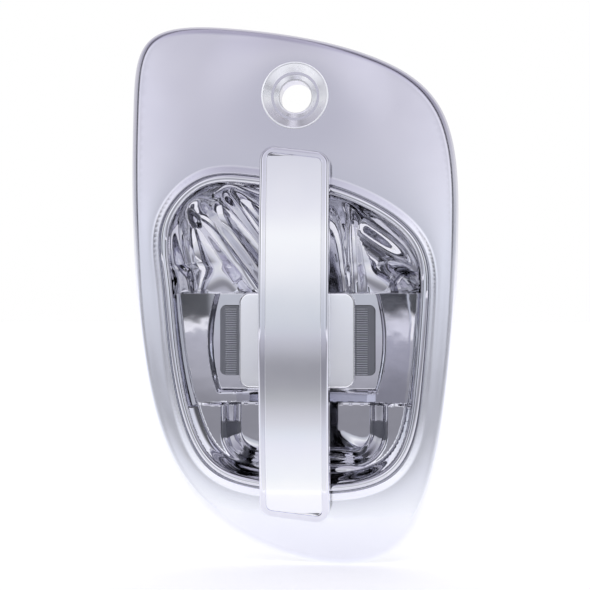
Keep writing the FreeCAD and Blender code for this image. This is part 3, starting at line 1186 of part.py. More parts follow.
os.makedirs("parts", exist_ok=True)
for node, build in PIECES.items():
    shape = build()
    shape.exportStep(f"parts/{node}.step")
    box = shape.BoundBox
    print(f"{node}: {len(shape.Solids)} solids, {shape.Volume:.0f} mm3, valid {shape.isValid()}, "
          f"X {box.XMin:.1f}..{box.XMax:.1f} Y {box.YMin:.1f}..{box.YMax:.1f} Z {box.ZMin:.1f}..{box.ZMax:.1f}")
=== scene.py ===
"""Pull handle of a vehicle's outer door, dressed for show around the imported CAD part.

Sizes are in millimetres in the CAD's frame: the origin is on the lock's axis in the plane of the
door skin, +X is right, +Z is up and +Y points into the door. Meshes are scaled to metres as they
are made.
"""
from __future__ import annotations

import sys
import json
import logging
import math
from collections.abc import Callable, Sequence
from dataclasses import dataclass, field
from enum import Enum

import bmesh
import bpy
import numpy as np
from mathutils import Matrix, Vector
from mathutils.geometry import delaunay_2d_cdt


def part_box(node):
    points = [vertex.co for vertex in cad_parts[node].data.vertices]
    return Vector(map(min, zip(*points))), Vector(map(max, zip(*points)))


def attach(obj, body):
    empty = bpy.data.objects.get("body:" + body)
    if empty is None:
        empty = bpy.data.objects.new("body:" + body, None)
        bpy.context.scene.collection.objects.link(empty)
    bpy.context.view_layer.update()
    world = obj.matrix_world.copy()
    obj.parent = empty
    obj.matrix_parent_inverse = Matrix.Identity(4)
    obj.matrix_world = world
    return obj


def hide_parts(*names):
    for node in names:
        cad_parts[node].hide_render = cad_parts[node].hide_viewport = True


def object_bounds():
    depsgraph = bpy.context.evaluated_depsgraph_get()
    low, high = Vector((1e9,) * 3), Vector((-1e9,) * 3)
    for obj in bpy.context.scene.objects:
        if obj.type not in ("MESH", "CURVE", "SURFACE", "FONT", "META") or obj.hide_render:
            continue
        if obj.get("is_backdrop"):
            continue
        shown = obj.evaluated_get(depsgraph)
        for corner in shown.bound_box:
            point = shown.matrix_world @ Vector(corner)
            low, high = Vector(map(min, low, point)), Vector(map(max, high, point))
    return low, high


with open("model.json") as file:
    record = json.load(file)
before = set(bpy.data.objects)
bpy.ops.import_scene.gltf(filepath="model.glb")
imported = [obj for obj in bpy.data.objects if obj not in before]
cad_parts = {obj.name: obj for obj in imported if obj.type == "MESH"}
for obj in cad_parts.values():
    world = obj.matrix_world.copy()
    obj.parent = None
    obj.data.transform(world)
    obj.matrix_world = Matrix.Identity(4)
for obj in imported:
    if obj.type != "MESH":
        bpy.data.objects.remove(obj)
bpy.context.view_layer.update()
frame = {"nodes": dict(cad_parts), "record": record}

LOG = logging.getLogger("door_handle")
MM = 0.001
WELD_MM = 0.004
Height = Callable[[np.ndarray, np.ndarray], np.ndarray]
Point = tuple[float, float, float]


# ---- Numbers and curves ------------------------------------------------------------------------------
def smoothstep(low: float, high: float, value: np.ndarray) -> np.ndarray:
    """A soft step.

    Args:
        low: Value where the step starts from 0.
        high: Value where the step reaches 1.
        value: What is stepped.

    Returns:
        Weights from 0 to 1.
    """
    share = np.clip((value - low) / (high - low), 0.0, 1.0)
    return share * share * (3.0 - 2.0 * share)


def soft_min(first: np.ndarray, second: np.ndarray, blend: float) -> np.ndarray:
    """The smaller of two fields, with a fillet where they cross.

    Args:
        first: One field.
        second: The other field.
        blend: Size of the fillet in the fields' own unit.

    Returns:
        The filleted minimum.
    """
    share = np.clip(0.5 + 0.5 * (second - first) / blend, 0.0, 1.0)
    return second + (first - second) * share - blend * share * (1.0 - share)


def rounded_box(x: np.ndarray, z: np.ndarray, centre: tuple[float, float], size: tuple[float, float],
                corner: float) -> np.ndarray:
    """Signed distance to a rounded rectangle, negative inside.

    Args:
        x: Places across.
        z: Places up.
        centre: Middle of the rectangle.
        size: Width and height.
        corner: Corner radius.

    Returns:
        Distances in millimetres.
    """
    dx = np.abs(x - centre[0]) - size[0] / 2 + corner
    dz = np.abs(z - centre[1]) - size[1] / 2 + corner
    outside = np.hypot(np.maximum(dx, 0.0), np.maximum(dz, 0.0))
    return outside + np.minimum(np.maximum(dx, dz), 0.0) - corner


def rounded_loop(centre: tuple[float, float], size: tuple[float, float], corner: float,
                 step: float = 1.0) -> np.ndarray:
    """Points round a rounded rectangle, anticlockwise from its lowest right corner.

    Args:
        centre: Middle (x, z).
        size: Width and height.
        corner: Corner radius.
        step: Rough spacing of the points along the straight sides.

    Returns:
        An (n, 2) array.
    """
    half_w, half_h = size[0] / 2 - corner, size[1] / 2 - corner
    turns = 9
    points: list[tuple[float, float]] = []
    corners = ((half_w, -half_h, -90), (half_w, half_h, 0), (-half_w, half_h, 90), (-half_w, -half_h, 180))
    for x, z, start in corners:
        for index in range(turns):
            angle = math.radians(start + 90 * index / (turns - 1))
            points.append((centre[0] + x + corner * math.cos(angle),
                           centre[1] + z + corner * math.sin(angle)))
    filled: list[tuple[float, float]] = []
    for here, ahead in zip(points, points[1:] + points[:1]):
        gap = math.dist(here, ahead)
        pieces = max(1, round(gap / step)) if gap > 1.5 * step else 1
        filled += [(here[0] + (ahead[0] - here[0]) * k / pieces, here[1] + (ahead[1] - here[1]) * k / pieces)
                   for k in range(pieces)]
    return np.array(filled)


@dataclass(frozen=True)
class Outline:
    """A closed outline as a uniform cubic spline, read as radii about a centre.

    Args:
        poles: Control points (x, z), with z from the lock's axis.
        centre_z: Height of the centre that the radii are measured from.
        count: How many equal angles the radii are given at.
    """

    poles: tuple[tuple[float, float], ...]
    centre_z: float
    count: int = 480

    def angles(self) -> np.ndarray:
        """The angles that the radii belong to."""
        return np.arange(self.count) * 2 * math.pi / self.count

    def radii(self, grow: float = 0.0) -> np.ndarray:
        """Radii of the outline moved out square to itself.

        Args:
            grow: How far it is moved out; negative moves it in.

        Returns:
            One radius for each angle.
        """
        poles = np.array(self.poles, dtype=float)
        share = np.arange(len(poles) * 120) / 120.0
        first = share.astype(int)
        u = (share - first)[:, None]
        weights = ((1 - u) ** 3, 3 * u ** 3 - 6 * u ** 2 + 4, -3 * u ** 3 + 3 * u ** 2 + 3 * u + 1, u ** 3)
        line = sum(w * poles[(first + k) % len(poles)] for k, w in enumerate(weights)) / 6
        along = np.roll(line, -1, axis=0) - np.roll(line, 1, axis=0)
        along /= np.linalg.norm(along, axis=1)[:, None]
        line = line + grow * np.stack([-along[:, 1], along[:, 0]], axis=1)
        angle = np.arctan2(line[:, 1] - self.centre_z, line[:, 0]) % (2 * math.pi)
        radius = np.hypot(line[:, 0], line[:, 1] - self.centre_z)
        order = np.argsort(angle)
        return np.interp(self.angles(), angle[order], radius[order], period=2 * math.pi)

    def at(self, radii: np.ndarray, x: np.ndarray, z: np.ndarray) -> np.ndarray:
        """The radius of a ring in the direction of each point."""
        angle = np.arctan2(z - self.centre_z, x) % (2 * math.pi)
        return np.interp(angle, self.angles(), radii, period=2 * math.pi)

    def flat(self, radii: np.ndarray) -> np.ndarray:
        """A ring as (x, z) points."""
        angle = self.angles()
        return np.stack([radii * np.cos(angle), self.centre_z + radii * np.sin(angle)], axis=1)

    def ring(self, radii: np.ndarray, y: float | np.ndarray) -> np.ndarray:
        """A ring as (x, y, z) points at a depth."""
        points = self.flat(radii)
        return np.stack([points[:, 0], np.broadcast_to(y, points.shape[0]), points[:, 1]], axis=1)


# ---- Surfaces -----------------------------------------------------------------------------------------
@dataclass
class Skin:
    """Patches welded into one mesh: smooth inside a patch, crisp where two patches meet.

    Args:
        points: Places of each patch.
        normals: Directions of each patch.
        faces: Faces of all patches, as indices into all places.
        kinds: Number of the finish of each face.
        kind: Number of the finish that the next patch gets.
        total: How many places there are so far.
    """

    points: list[np.ndarray] = field(default_factory=list)
    normals: list[np.ndarray] = field(default_factory=list)
    faces: list[tuple[int, ...]] = field(default_factory=list)
    kinds: list[int] = field(default_factory=list)
    kind: int = 0
    total: int = 0

    def add(self, points: np.ndarray, normals: np.ndarray, faces: Sequence[Sequence[int]]) -> None:
        """Adds a patch.

        Args:
            points: (n, 3) places.
            normals: (n, 3) directions, of either sign.
            faces: Indices into the points.
        """
        self.points.append(np.asarray(points, dtype=float))
        self.normals.append(np.asarray(normals, dtype=float))
        self.faces += [tuple(int(i) + self.total for i in face) for face in faces]
        self.kinds += [self.kind] * len(faces)
        self.total += len(points)

    def rows(self, rows: Sequence[np.ndarray], closed: bool = True,
             normal: Callable[[np.ndarray], np.ndarray] | None = None) -> None:
        """Adds a patch of quads through rows of points.

        Args:
            rows: Rows with the same number of points each.
            closed: Whether the last point of a row joins the first.
            normal: Gives the directions at places; if None they come from the rows.
        """
        grid = np.stack(rows)
        if closed:
            across = np.roll(grid, -1, axis=1) - np.roll(grid, 1, axis=1)
        else:
            across = np.gradient(grid, axis=1)
        cross = np.cross(across, np.gradient(grid, axis=0))
        size = np.linalg.norm(cross, axis=2, keepdims=True)
        cross = cross / np.maximum(size, 1e-12)
        high, wide = grid.shape[:2]
        ends = wide if closed else wide - 1
        faces = []
        for i in range(high - 1):
            for j in range(ends):
                here, ahead = i * wide + j, i * wide + (j + 1) % wide
                faces.append((here, ahead, ahead + wide, here + wide))
        flat = grid.reshape(-1, 3)
        self.add(flat, cross.reshape(-1, 3) if normal is None else normal(flat), faces)

    def sheet(self, scatter: Sequence[np.ndarray], loops: Sequence[np.ndarray], height: Height,
              keep: Callable[[np.ndarray, np.ndarray], np.ndarray]) -> None:
        """Adds a height field over an area with holes.

        Args:
            scatter: Groups of (x, z) points inside the area.
            loops: Closed edges of the area and of its holes, as (x, z) points in order.
            height: Gives y over (x, z).
            keep: Says which places belong to the area.
        """
        places: list[np.ndarray] = []
        edges: list[tuple[int, int]] = []
        used = 0
        for loop in loops:
            places.append(loop)
            edges += [(used + k, used + (k + 1) % len(loop)) for k in range(len(loop))]
            used += len(loop)
        for group in scatter:
            places.append(group[keep(group[:, 0], group[:, 1])])
        flat = np.concatenate(places)
        result = delaunay_2d_cdt([Vector(p) for p in flat], edges, [], 0, 1e-5, False)
        corners = np.array([tuple(v) for v in result[0]])
        triangles = np.array([face for face in result[2] if len(face) == 3])
        middle = corners[triangles].mean(axis=1)
        triangles = triangles[keep(middle[:, 0], middle[:, 1])]
        x, z = corners[:, 0], corners[:, 1]
        near = 0.02
        slope_x = (height(x + near, z) - height(x - near, z)) / (2 * near)
        slope_z = (height(x, z + near) - height(x, z - near)) / (2 * near)
        normals = np.stack([slope_x, -np.ones_like(x), slope_z], axis=1)
        normals /= np.linalg.norm(normals, axis=1)[:, None]
        self.add(np.stack([x, height(x, z), z], axis=1), normals, triangles.tolist())

    def lathe(self, profile: Sequence[tuple[float, float]], centre: Point, sides: int = 96) -> None:
        """Adds a surface turned about an axis along Y.

        Args:
            profile: (radius, y) steps.
            centre: A point on the axis; its y is added to the profile's.
            sides: How many sides the circle has.
        """
        angle = np.arange(sides) * 2 * math.pi / sides
        self.rows([np.stack([centre[0] + r * np.cos(angle), np.full(sides, centre[1] + y),
                             centre[2] + r * np.sin(angle)], axis=1) for r, y in profile])

    def build(self, name: str, *finishes: bpy.types.Material) -> bpy.types.Object:
        """Welds the patches into a mesh object with outward faces.

        Args:
            name: The piece's name.
            *finishes: Its materials, in the order of the patches' kinds.

        Returns:
            The object, at the origin.
        """
        points = np.concatenate(self.points) * MM
        normals = np.concatenate(self.normals)
        mesh = bpy.data.meshes.new(name)
        mesh.from_pydata(points.tolist(), [], self.faces)
        mesh.polygons.foreach_set("material_index", self.kinds)
        kept = mesh.attributes.new("patch_normal", "FLOAT_VECTOR", "CORNER")
        corner = np.zeros(len(mesh.loops), dtype=np.int32)
        mesh.loops.foreach_get("vertex_index", corner)
        kept.data.foreach_set("vector", normals[corner].astype(np.float32).ravel())
        work = bmesh.new()
        work.from_mesh(mesh)
        bmesh.ops.remove_doubles(work, verts=work.verts, dist=WELD_MM * MM)
        bmesh.ops.dissolve_degenerate(work, edges=work.edges, dist=WELD_MM * MM / 4)
        bmesh.ops.recalc_face_normals(work, faces=work.faces)
        work.to_mesh(mesh)
        work.free()
        directions = np.zeros(len(mesh.loops) * 3, dtype=np.float32)
        mesh.attributes["patch_normal"].data.foreach_get("vector", directions)
        directions = directions.reshape(-1, 3)
        sizes = np.zeros(len(mesh.polygons), dtype=np.int32)
        mesh.polygons.foreach_get("loop_total", sizes)
        facing = np.zeros(len(mesh.polygons) * 3, dtype=np.float32)
        mesh.polygons.foreach_get("normal", facing)
        facing = np.repeat(facing.reshape(-1, 3), sizes, axis=0)
        wrong = np.sum(facing * directions, axis=1) < 0
        directions[wrong] *= -1
        lost = np.linalg.norm(directions, axis=1) < 0.5
        directions[lost] = facing[lost]
        mesh.attributes.remove(mesh.attributes["patch_normal"])
        mesh.polygons.foreach_set("use_smooth", np.ones(len(mesh.polygons), dtype=bool))
        mesh.normals_split_custom_set(directions.tolist())
        for finish in finishes:
            mesh.materials.append(finish)
        piece = bpy.data.objects.new(name, mesh)
        bpy.context.scene.collection.objects.link(piece)
        return piece


def round_edge(start: tuple[float, float], end: tuple[float, float], bulge: tuple[float, float],
               steps: int = 5) -> list[tuple[float, float]]:
    """Points of a rounded corner.

    Args:
        start: Where the rounding starts.
        end: Where it ends.
        bulge: The sharp corner that it replaces.
        steps: How many pieces it has.

    Returns:
        Pairs from start to end along a quarter of an ellipse.
    """
    points = []
    for index in range(steps + 1):
        angle = math.pi / 2 * index / steps
        keep, turn = 1 - math.sin(angle), 1 - math.cos(angle)
        points.append(tuple(b + (s - b) * keep + (e - b) * turn for s, e, b in zip(start, end, bulge)))
    return points


def box_mm(node: str) -> tuple[np.ndarray, np.ndarray]:
    """A CAD node's lowest and highest corners in millimetres."""
    low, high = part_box(node)
    return np.array(tuple(low)) / MM, np.array(tuple(high)) / MM


def islands(node: str) -> list[tuple[np.ndarray, np.ndarray]]:
    """The box of each separate solid of a CAD node.

    Args:
        node: Its name.

    Returns:
        (lowest, highest) corners in millimetres, left to right and then bottom to top.
    """
    work = bmesh.new()
    work.from_mesh(frame["nodes"][node].data)
    bmesh.ops.remove_doubles(work, verts=work.verts, dist=WELD_MM * MM)
    left = set(work.verts)
    boxes = []
    while left:
        seed = left.pop()
        group, front = [seed], [seed]
        while front:
            reached = [edge.other_vert(vert) for vert in front for edge in vert.link_edges]
            front = [vert for vert in set(reached) if vert in left]
            left.difference_update(front)
            group += front
        places = np.array([tuple(vert.co) for vert in group]) / MM
        boxes.append((places.min(axis=0), places.max(axis=0)))
    work.free()
    return sorted(boxes, key=lambda box: (round(float(box[0][0]), 1), round(float(box[0][2]), 1)))


# ---- Finishes -----------------------------------------------------------------------------------------
def linear(code: str) -> tuple[float, float, float, float]:
    """An sRGB hex colour as linear RGBA."""
    parts = [int(code[k:k + 2], 16) / 255 for k in (1, 3, 5)]
    return (*[p / 12.92 if p <= 0.04045 else ((p + 0.055) / 1.055) ** 2.4 for p in parts], 1.0)


def add_node(tree: bpy.types.NodeTree, kind: str, inputs: dict | None = None,
             **settings: object) -> bpy.types.Node:
    """Adds a node with its settings, values and links.

    Args:
        tree: The node tree.
        kind: The node's type name.
        inputs: Socket name or number to a value, or to an output socket that feeds it.
        **settings: Attributes of the node.

    Returns:
        The node.
    """
    made = tree.nodes.new(kind)
    for name, value in settings.items():
        setattr(made, name, value)
    for name, value in (inputs or {}).items():
        if isinstance(value, bpy.types.NodeSocket):
            tree.links.new(value, made.inputs[name])
        else:
            made.inputs[name].default_value = value
    return made


def fill_ramp(ramp: bpy.types.ColorRamp, stops: Sequence[tuple[float, tuple]]) -> None:
    """Gives a new colour ramp its stops.

    Args:
        ramp: The ramp, with the two stops that it starts with.
        stops: Places from 0 to 1 in rising order, and linear RGBA colours.
    """
    for _ in stops[2:]:
        ramp.elements.new(0.5)
    for stop, (place, colour) in zip(ramp.elements, stops):
        stop.position = place
        stop.color = colour


class Relief(Enum):
    """What the surface's fine relief is."""

    PLATING_WAVES = "long, low waves left by plating over moulded plastic"
    MOULD_SINKS = "shallow sinks left by the mould, which bend mirrored lines"
    CAST_GRAIN = "shot-blasted casting grain"
    TURNING = "fine turning or drawing lines along X"
    MOULD_GRAIN = "spark-eroded mould grain"
    FOAM_CELLS = "skinned foam cells"
    CLEAR = "polished, nearly no relief"


# Size of each relief and its depth, both in millimetres.
RELIEF_MM = {
    Relief.PLATING_WAVES: (9.0, 0.006), Relief.MOULD_SINKS: (17.0, 0.05), Relief.CAST_GRAIN: (0.8, 0.05),
    Relief.TURNING: (0.35, 0.012), Relief.MOULD_GRAIN: (0.5, 0.02), Relief.FOAM_CELLS: (0.9, 0.12),
    Relief.CLEAR: (14.0, 0.001),
}


@dataclass(frozen=True)
class Finish:
    """A surface finish, worked out from what the real material is.

    Args:
        name: The material's name.
        light: Colour of its lighter areas, sRGB hex.
        dark: Colour of its darker areas.
        metallic: 1 for a bare or plated metal.
        roughness: Middle roughness.
        spread: How far the roughness wanders either way.
        relief: Its fine relief.
        patch_mm: Size of its colour patches.
        ior: Index of refraction of a plastic or rubber.
        see_through: Transmission of a clear plastic.
        coat: Weight of a clear coat.
        painted_reflection_fade: Heights in millimetres between which dark gives way to light, a painted
            reflection, or None for patches.
        glow: Strength of its own light, for a lamp or a lit floor.
    """

    name: str
    light: str
    dark: str
    metallic: float
    roughness: float
    spread: float
    relief: Relief
    patch_mm: float = 12.0
    ior: float = 1.5
    see_through: float = 0.0
    coat: float = 0.0
    painted_reflection_fade: tuple[float, float] | None = None
    glow: float = 0.0

    def material(self) -> bpy.types.Material:
        """Builds the node material.

        Returns:
            The material, with every pattern on Object coordinates at its real size.
        """
        made = bpy.data.materials.new(self.name)
        made.use_nodes = True
        tree = made.node_tree
        tree.nodes.clear()
        place = add_node(tree, "ShaderNodeTexCoord").outputs["Object"]
        patches = add_node(tree, "ShaderNodeTexNoise", {"Vector": place, "Scale": 1 / (self.patch_mm * MM),
                                                        "Detail": 3.0, "Roughness": 0.55}).outputs[0]
        if self.painted_reflection_fade is None:
            share = patches
        else:
            # Painted reflection: the colour is graded by height, not by what the surface mirrors.
            height = add_node(tree, "ShaderNodeSeparateXYZ", {0: place}).outputs["Z"]
            share = add_node(tree, "ShaderNodeMapRange",
                             {"Value": height, "From Min": self.painted_reflection_fade[0] * MM, "From Max": self.painted_reflection_fade[1] * MM},
                             interpolation_type="SMOOTHSTEP").outputs[0]
        colour = add_node(tree, "ShaderNodeMix", {0: share, 6: linear(self.dark), 7: linear(self.light)},
                          data_type="RGBA").outputs[2]
        rough = add_node(tree, "ShaderNodeMapRange",
                         {"Value": patches, "From Min": 0.3, "From Max": 0.7,
                          "To Min": max(self.roughness - self.spread, 0.0),
                          "To Max": self.roughness + self.spread}).outputs[0]
        size, deep = RELIEF_MM[self.relief]
        where = {"Vector": place, "Scale": 1 / (size * MM)}
        if self.relief is Relief.TURNING:
            where["Vector"] = add_node(tree, "ShaderNodeMapping",
                                       {"Vector": place, "Scale": (0.02, 1.0, 1.0)}).outputs[0]
        if self.relief is Relief.FOAM_CELLS:
            grain = add_node(tree, "ShaderNodeTexVoronoi", where, feature="SMOOTH_F1").outputs[0]
        else:
            grain = add_node(tree, "ShaderNodeTexNoise", where | {"Detail": 2.0}).outputs[0]
        bump = add_node(tree, "ShaderNodeBump",
                        {"Height": grain, "Strength": 1.0, "Distance": deep * MM}).outputs[0]
        values = {"Base Color": colour, "Roughness": rough, "Normal": bump, "Metallic": self.metallic,
                  "Transmission Weight": self.see_through, "Coat Weight": self.coat}
        if self.metallic < 0.5:
            values["IOR"] = self.ior
        if self.glow > 0:
            values |= {"Emission Color": linear(self.light), "Emission Strength": self.glow}
        shader = add_node(tree, "ShaderNodeBsdfPrincipled", values)
        add_node(tree, "ShaderNodeOutputMaterial", {"Surface": shader.outputs[0]})
        return made


# Bright chrome over moulded ABS: a near mirror, faintly blue, with long soft plating waves. Its colour is
# painted greyer towards the top and whiter towards the bottom, a painted reflection.
BEZEL_CHROME = Finish("chrome_plated_abs_bezel", "#CBC9D5", "#F8F9FE", 1.0, 0.20, 0.02, Relief.PLATING_WAVES,
                      painted_reflection_fade=(-125.0, -5.0))
# The lock dish is turned before plating, so it shines in soft sectors.
DISH_CHROME = Finish("turned_chrome_lock_dish", "#FFFFFF", "#FCFCFF", 1.0, 0.28, 0.04, Relief.CLEAR)
# A full mirror over a deep moulding, whose sinks bend what it reflects into streaks.
CUP_CHROME = Finish("chrome_plated_abs_cup", "#E9E9EE", "#DADAE0", 1.0, 0.03, 0.012, Relief.MOULD_SINKS)
# Polished zinc takes the plating flat: a clean, cold mirror.
BAR_CHROME = Finish("chrome_plated_zinc_bar", "#F0F0F6", "#E6E6EE", 1.0, 0.06, 0.02, Relief.CLEAR)
# The inlay and the lamp's cap are plated over a fine satin, so that reflections have soft edges.
FACE_CHROME = Finish("satin_chrome_inlay", "#FDFDFF", "#F8F9FD", 1.0, 0.10, 0.02, Relief.CLEAR)
CAP_CHROME = Finish("satin_chrome_lamp_cap", "#FFFFFF", "#FCFCFF", 1.0, 0.20, 0.03, Relief.CLEAR)
# Thin chrome on a hidden cover: a duller mirror with long waves.
COVER_CHROME = Finish("chrome_plated_abs_cover", "#D2D2DA", "#C4C4CE", 1.0, 0.12, 0.04, Relief.PLATING_WAVES)
# Shot-blasted zinc-aluminium casting: flat grey with a fine sparkling grain.
CAST_ALLOY = Finish("shot_blasted_die_casting", "#A9ABAD", "#8B8D90", 1.0, 0.48, 0.08, Relief.CAST_GRAIN, 8.0)
# Bright zinc plate: blue-white, softly shining, with cloudy patches.
ZINC_STEEL = Finish("bright_zinc_plated_steel", "#C9CDD2", "#A4A8AF", 1.0, 0.28, 0.06, Relief.TURNING, 4.0)
# Centreless-ground pins: a plain steel shine with faint lines round.
GROUND_STEEL = Finish("ground_steel_pin", "#C4C5C8", "#A9ABAF", 1.0, 0.20, 0.05, Relief.TURNING, 5.0)
# Oil-tempered wire: dark and half shiny.
SPRING_STEEL = Finish("oil_tempered_spring_wire", "#5B5C60", "#3C3D42", 1.0, 0.30, 0.06, Relief.TURNING, 3.0)
# Yellow-passivated zinc over pressed steel: straw with green and pink clouds.
STAMPED_STEEL = Finish("yellow_passivated_steel", "#D3C27A", "#B5A574", 1.0, 0.32, 0.07, Relief.TURNING, 6.0)
# Closed-cell foam: dull black with a pitted skin.
FOAM_RUBBER = Finish("closed_cell_foam_rubber", "#26272A", "#17181A", 0.0, 0.82, 0.08, Relief.FOAM_CELLS, 3.0,
                     1.52)
# Moulded rubber: dark, with a dull sheen at its edges.
MOULDED_RUBBER = Finish("moulded_black_rubber", "#1F2023", "#131416", 0.0, 0.62, 0.08, Relief.MOULD_GRAIN,
                        4.0, 1.52)
# Uncoloured acetal: waxy off-white.
ACETAL = Finish("natural_acetal", "#EBE8DB", "#DAD6C6", 0.0, 0.38, 0.06, Relief.MOULD_GRAIN, 6.0, 1.48)
# Dyed nylon: a flat, slightly greasy green.
GREEN_NYLON = Finish("green_nylon_clip", "#2F7A48", "#23603A", 0.0, 0.42, 0.06, Relief.MOULD_GRAIN, 4.0, 1.53)
# Clear polycarbonate with a slight smoke; its grey is partly painted shade, standing for the shade inside the
# lamp behind it.
POLYCARBONATE = Finish("smoked_polycarbonate_painted_shade", "#A3A5AD", "#92949C", 0.0, 0.10, 0.03, Relief.CLEAR,
                       20.0, 1.585, see_through=0.35)
# Flutes catch the light along their crests; that highlight is painted into their pale colour, so they read as
# fine pale lines over the dark lens.
FLUTED_LENS = Finish("polycarbonate_flutes_painted_highlight", "#D9DBE2", "#CACCD4", 0.0, 0.30, 0.04, Relief.CLEAR,
                     20.0, 1.585, see_through=0.15)
# Moulded white ABS: soft, even white.
WHITE_ABS = Finish("white_abs_tray", "#ECECE8", "#DEDED9", 0.0, 0.45, 0.06, Relief.MOULD_GRAIN, 10.0, 1.54)
# Cured solder mask: deep green under a thin gloss.
SOLDER_MASK = Finish("green_solder_mask", "#1E6B3B", "#17552F", 0.0, 0.28, 0.05, Relief.CLEAR, 3.0, 1.55,
                     coat=0.5)
# Phosphor in clear resin: warm yellow.
LED_PHOSPHOR = Finish("led_phosphor", "#F2DF7A", "#E6CF63", 0.0, 0.35, 0.05, Relief.MOULD_GRAIN, 1.0, 1.5)
# Black glaze over a resistor's chip.
CHIP_RESISTOR = Finish("chip_resistor_glaze", "#26272A", "#1A1B1D", 0.0, 0.30, 0.05, Relief.MOULD_GRAIN, 1.0,
                       1.5)
# Studio floor: matt white paint with a trace of unevenness.
STUDIO_PAINT = Finish("matt_white_studio_floor", "#FBFBFD", "#F6F6F9", 0.0, 0.75, 0.05, Relief.CLEAR, 300.0,
                      1.46, glow=0.40)

MATERIALS: dict[str, bpy.types.Material] = {}


def dressed(finish: Finish) -> bpy.types.Material:
    """The material of a finish, built once.

    Args:
        finish: The finish.

    Returns:
        Its material.
    """
    if finish.name not in MATERIALS:
        MATERIALS[finish.name] = finish.material()
    return MATERIALS[finish.name]


def settle(piece: bpy.types.Object, body: str, slot: str, *nodes: str) -> None:
    """Ties a finished piece to its body and the CAD nodes that it stands for.

    Args:
        piece: The finished mesh object.
        body: The CAD body that it rides on.
        slot: The record's material slot; not used.
        *nodes: CAD nodes that it replaces.
    """
    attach(piece, body)
    if nodes:
        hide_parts(*nodes)
    LOG.info("%s: %d faces, rides on %s", piece.name, len(piece.data.polygons), body)


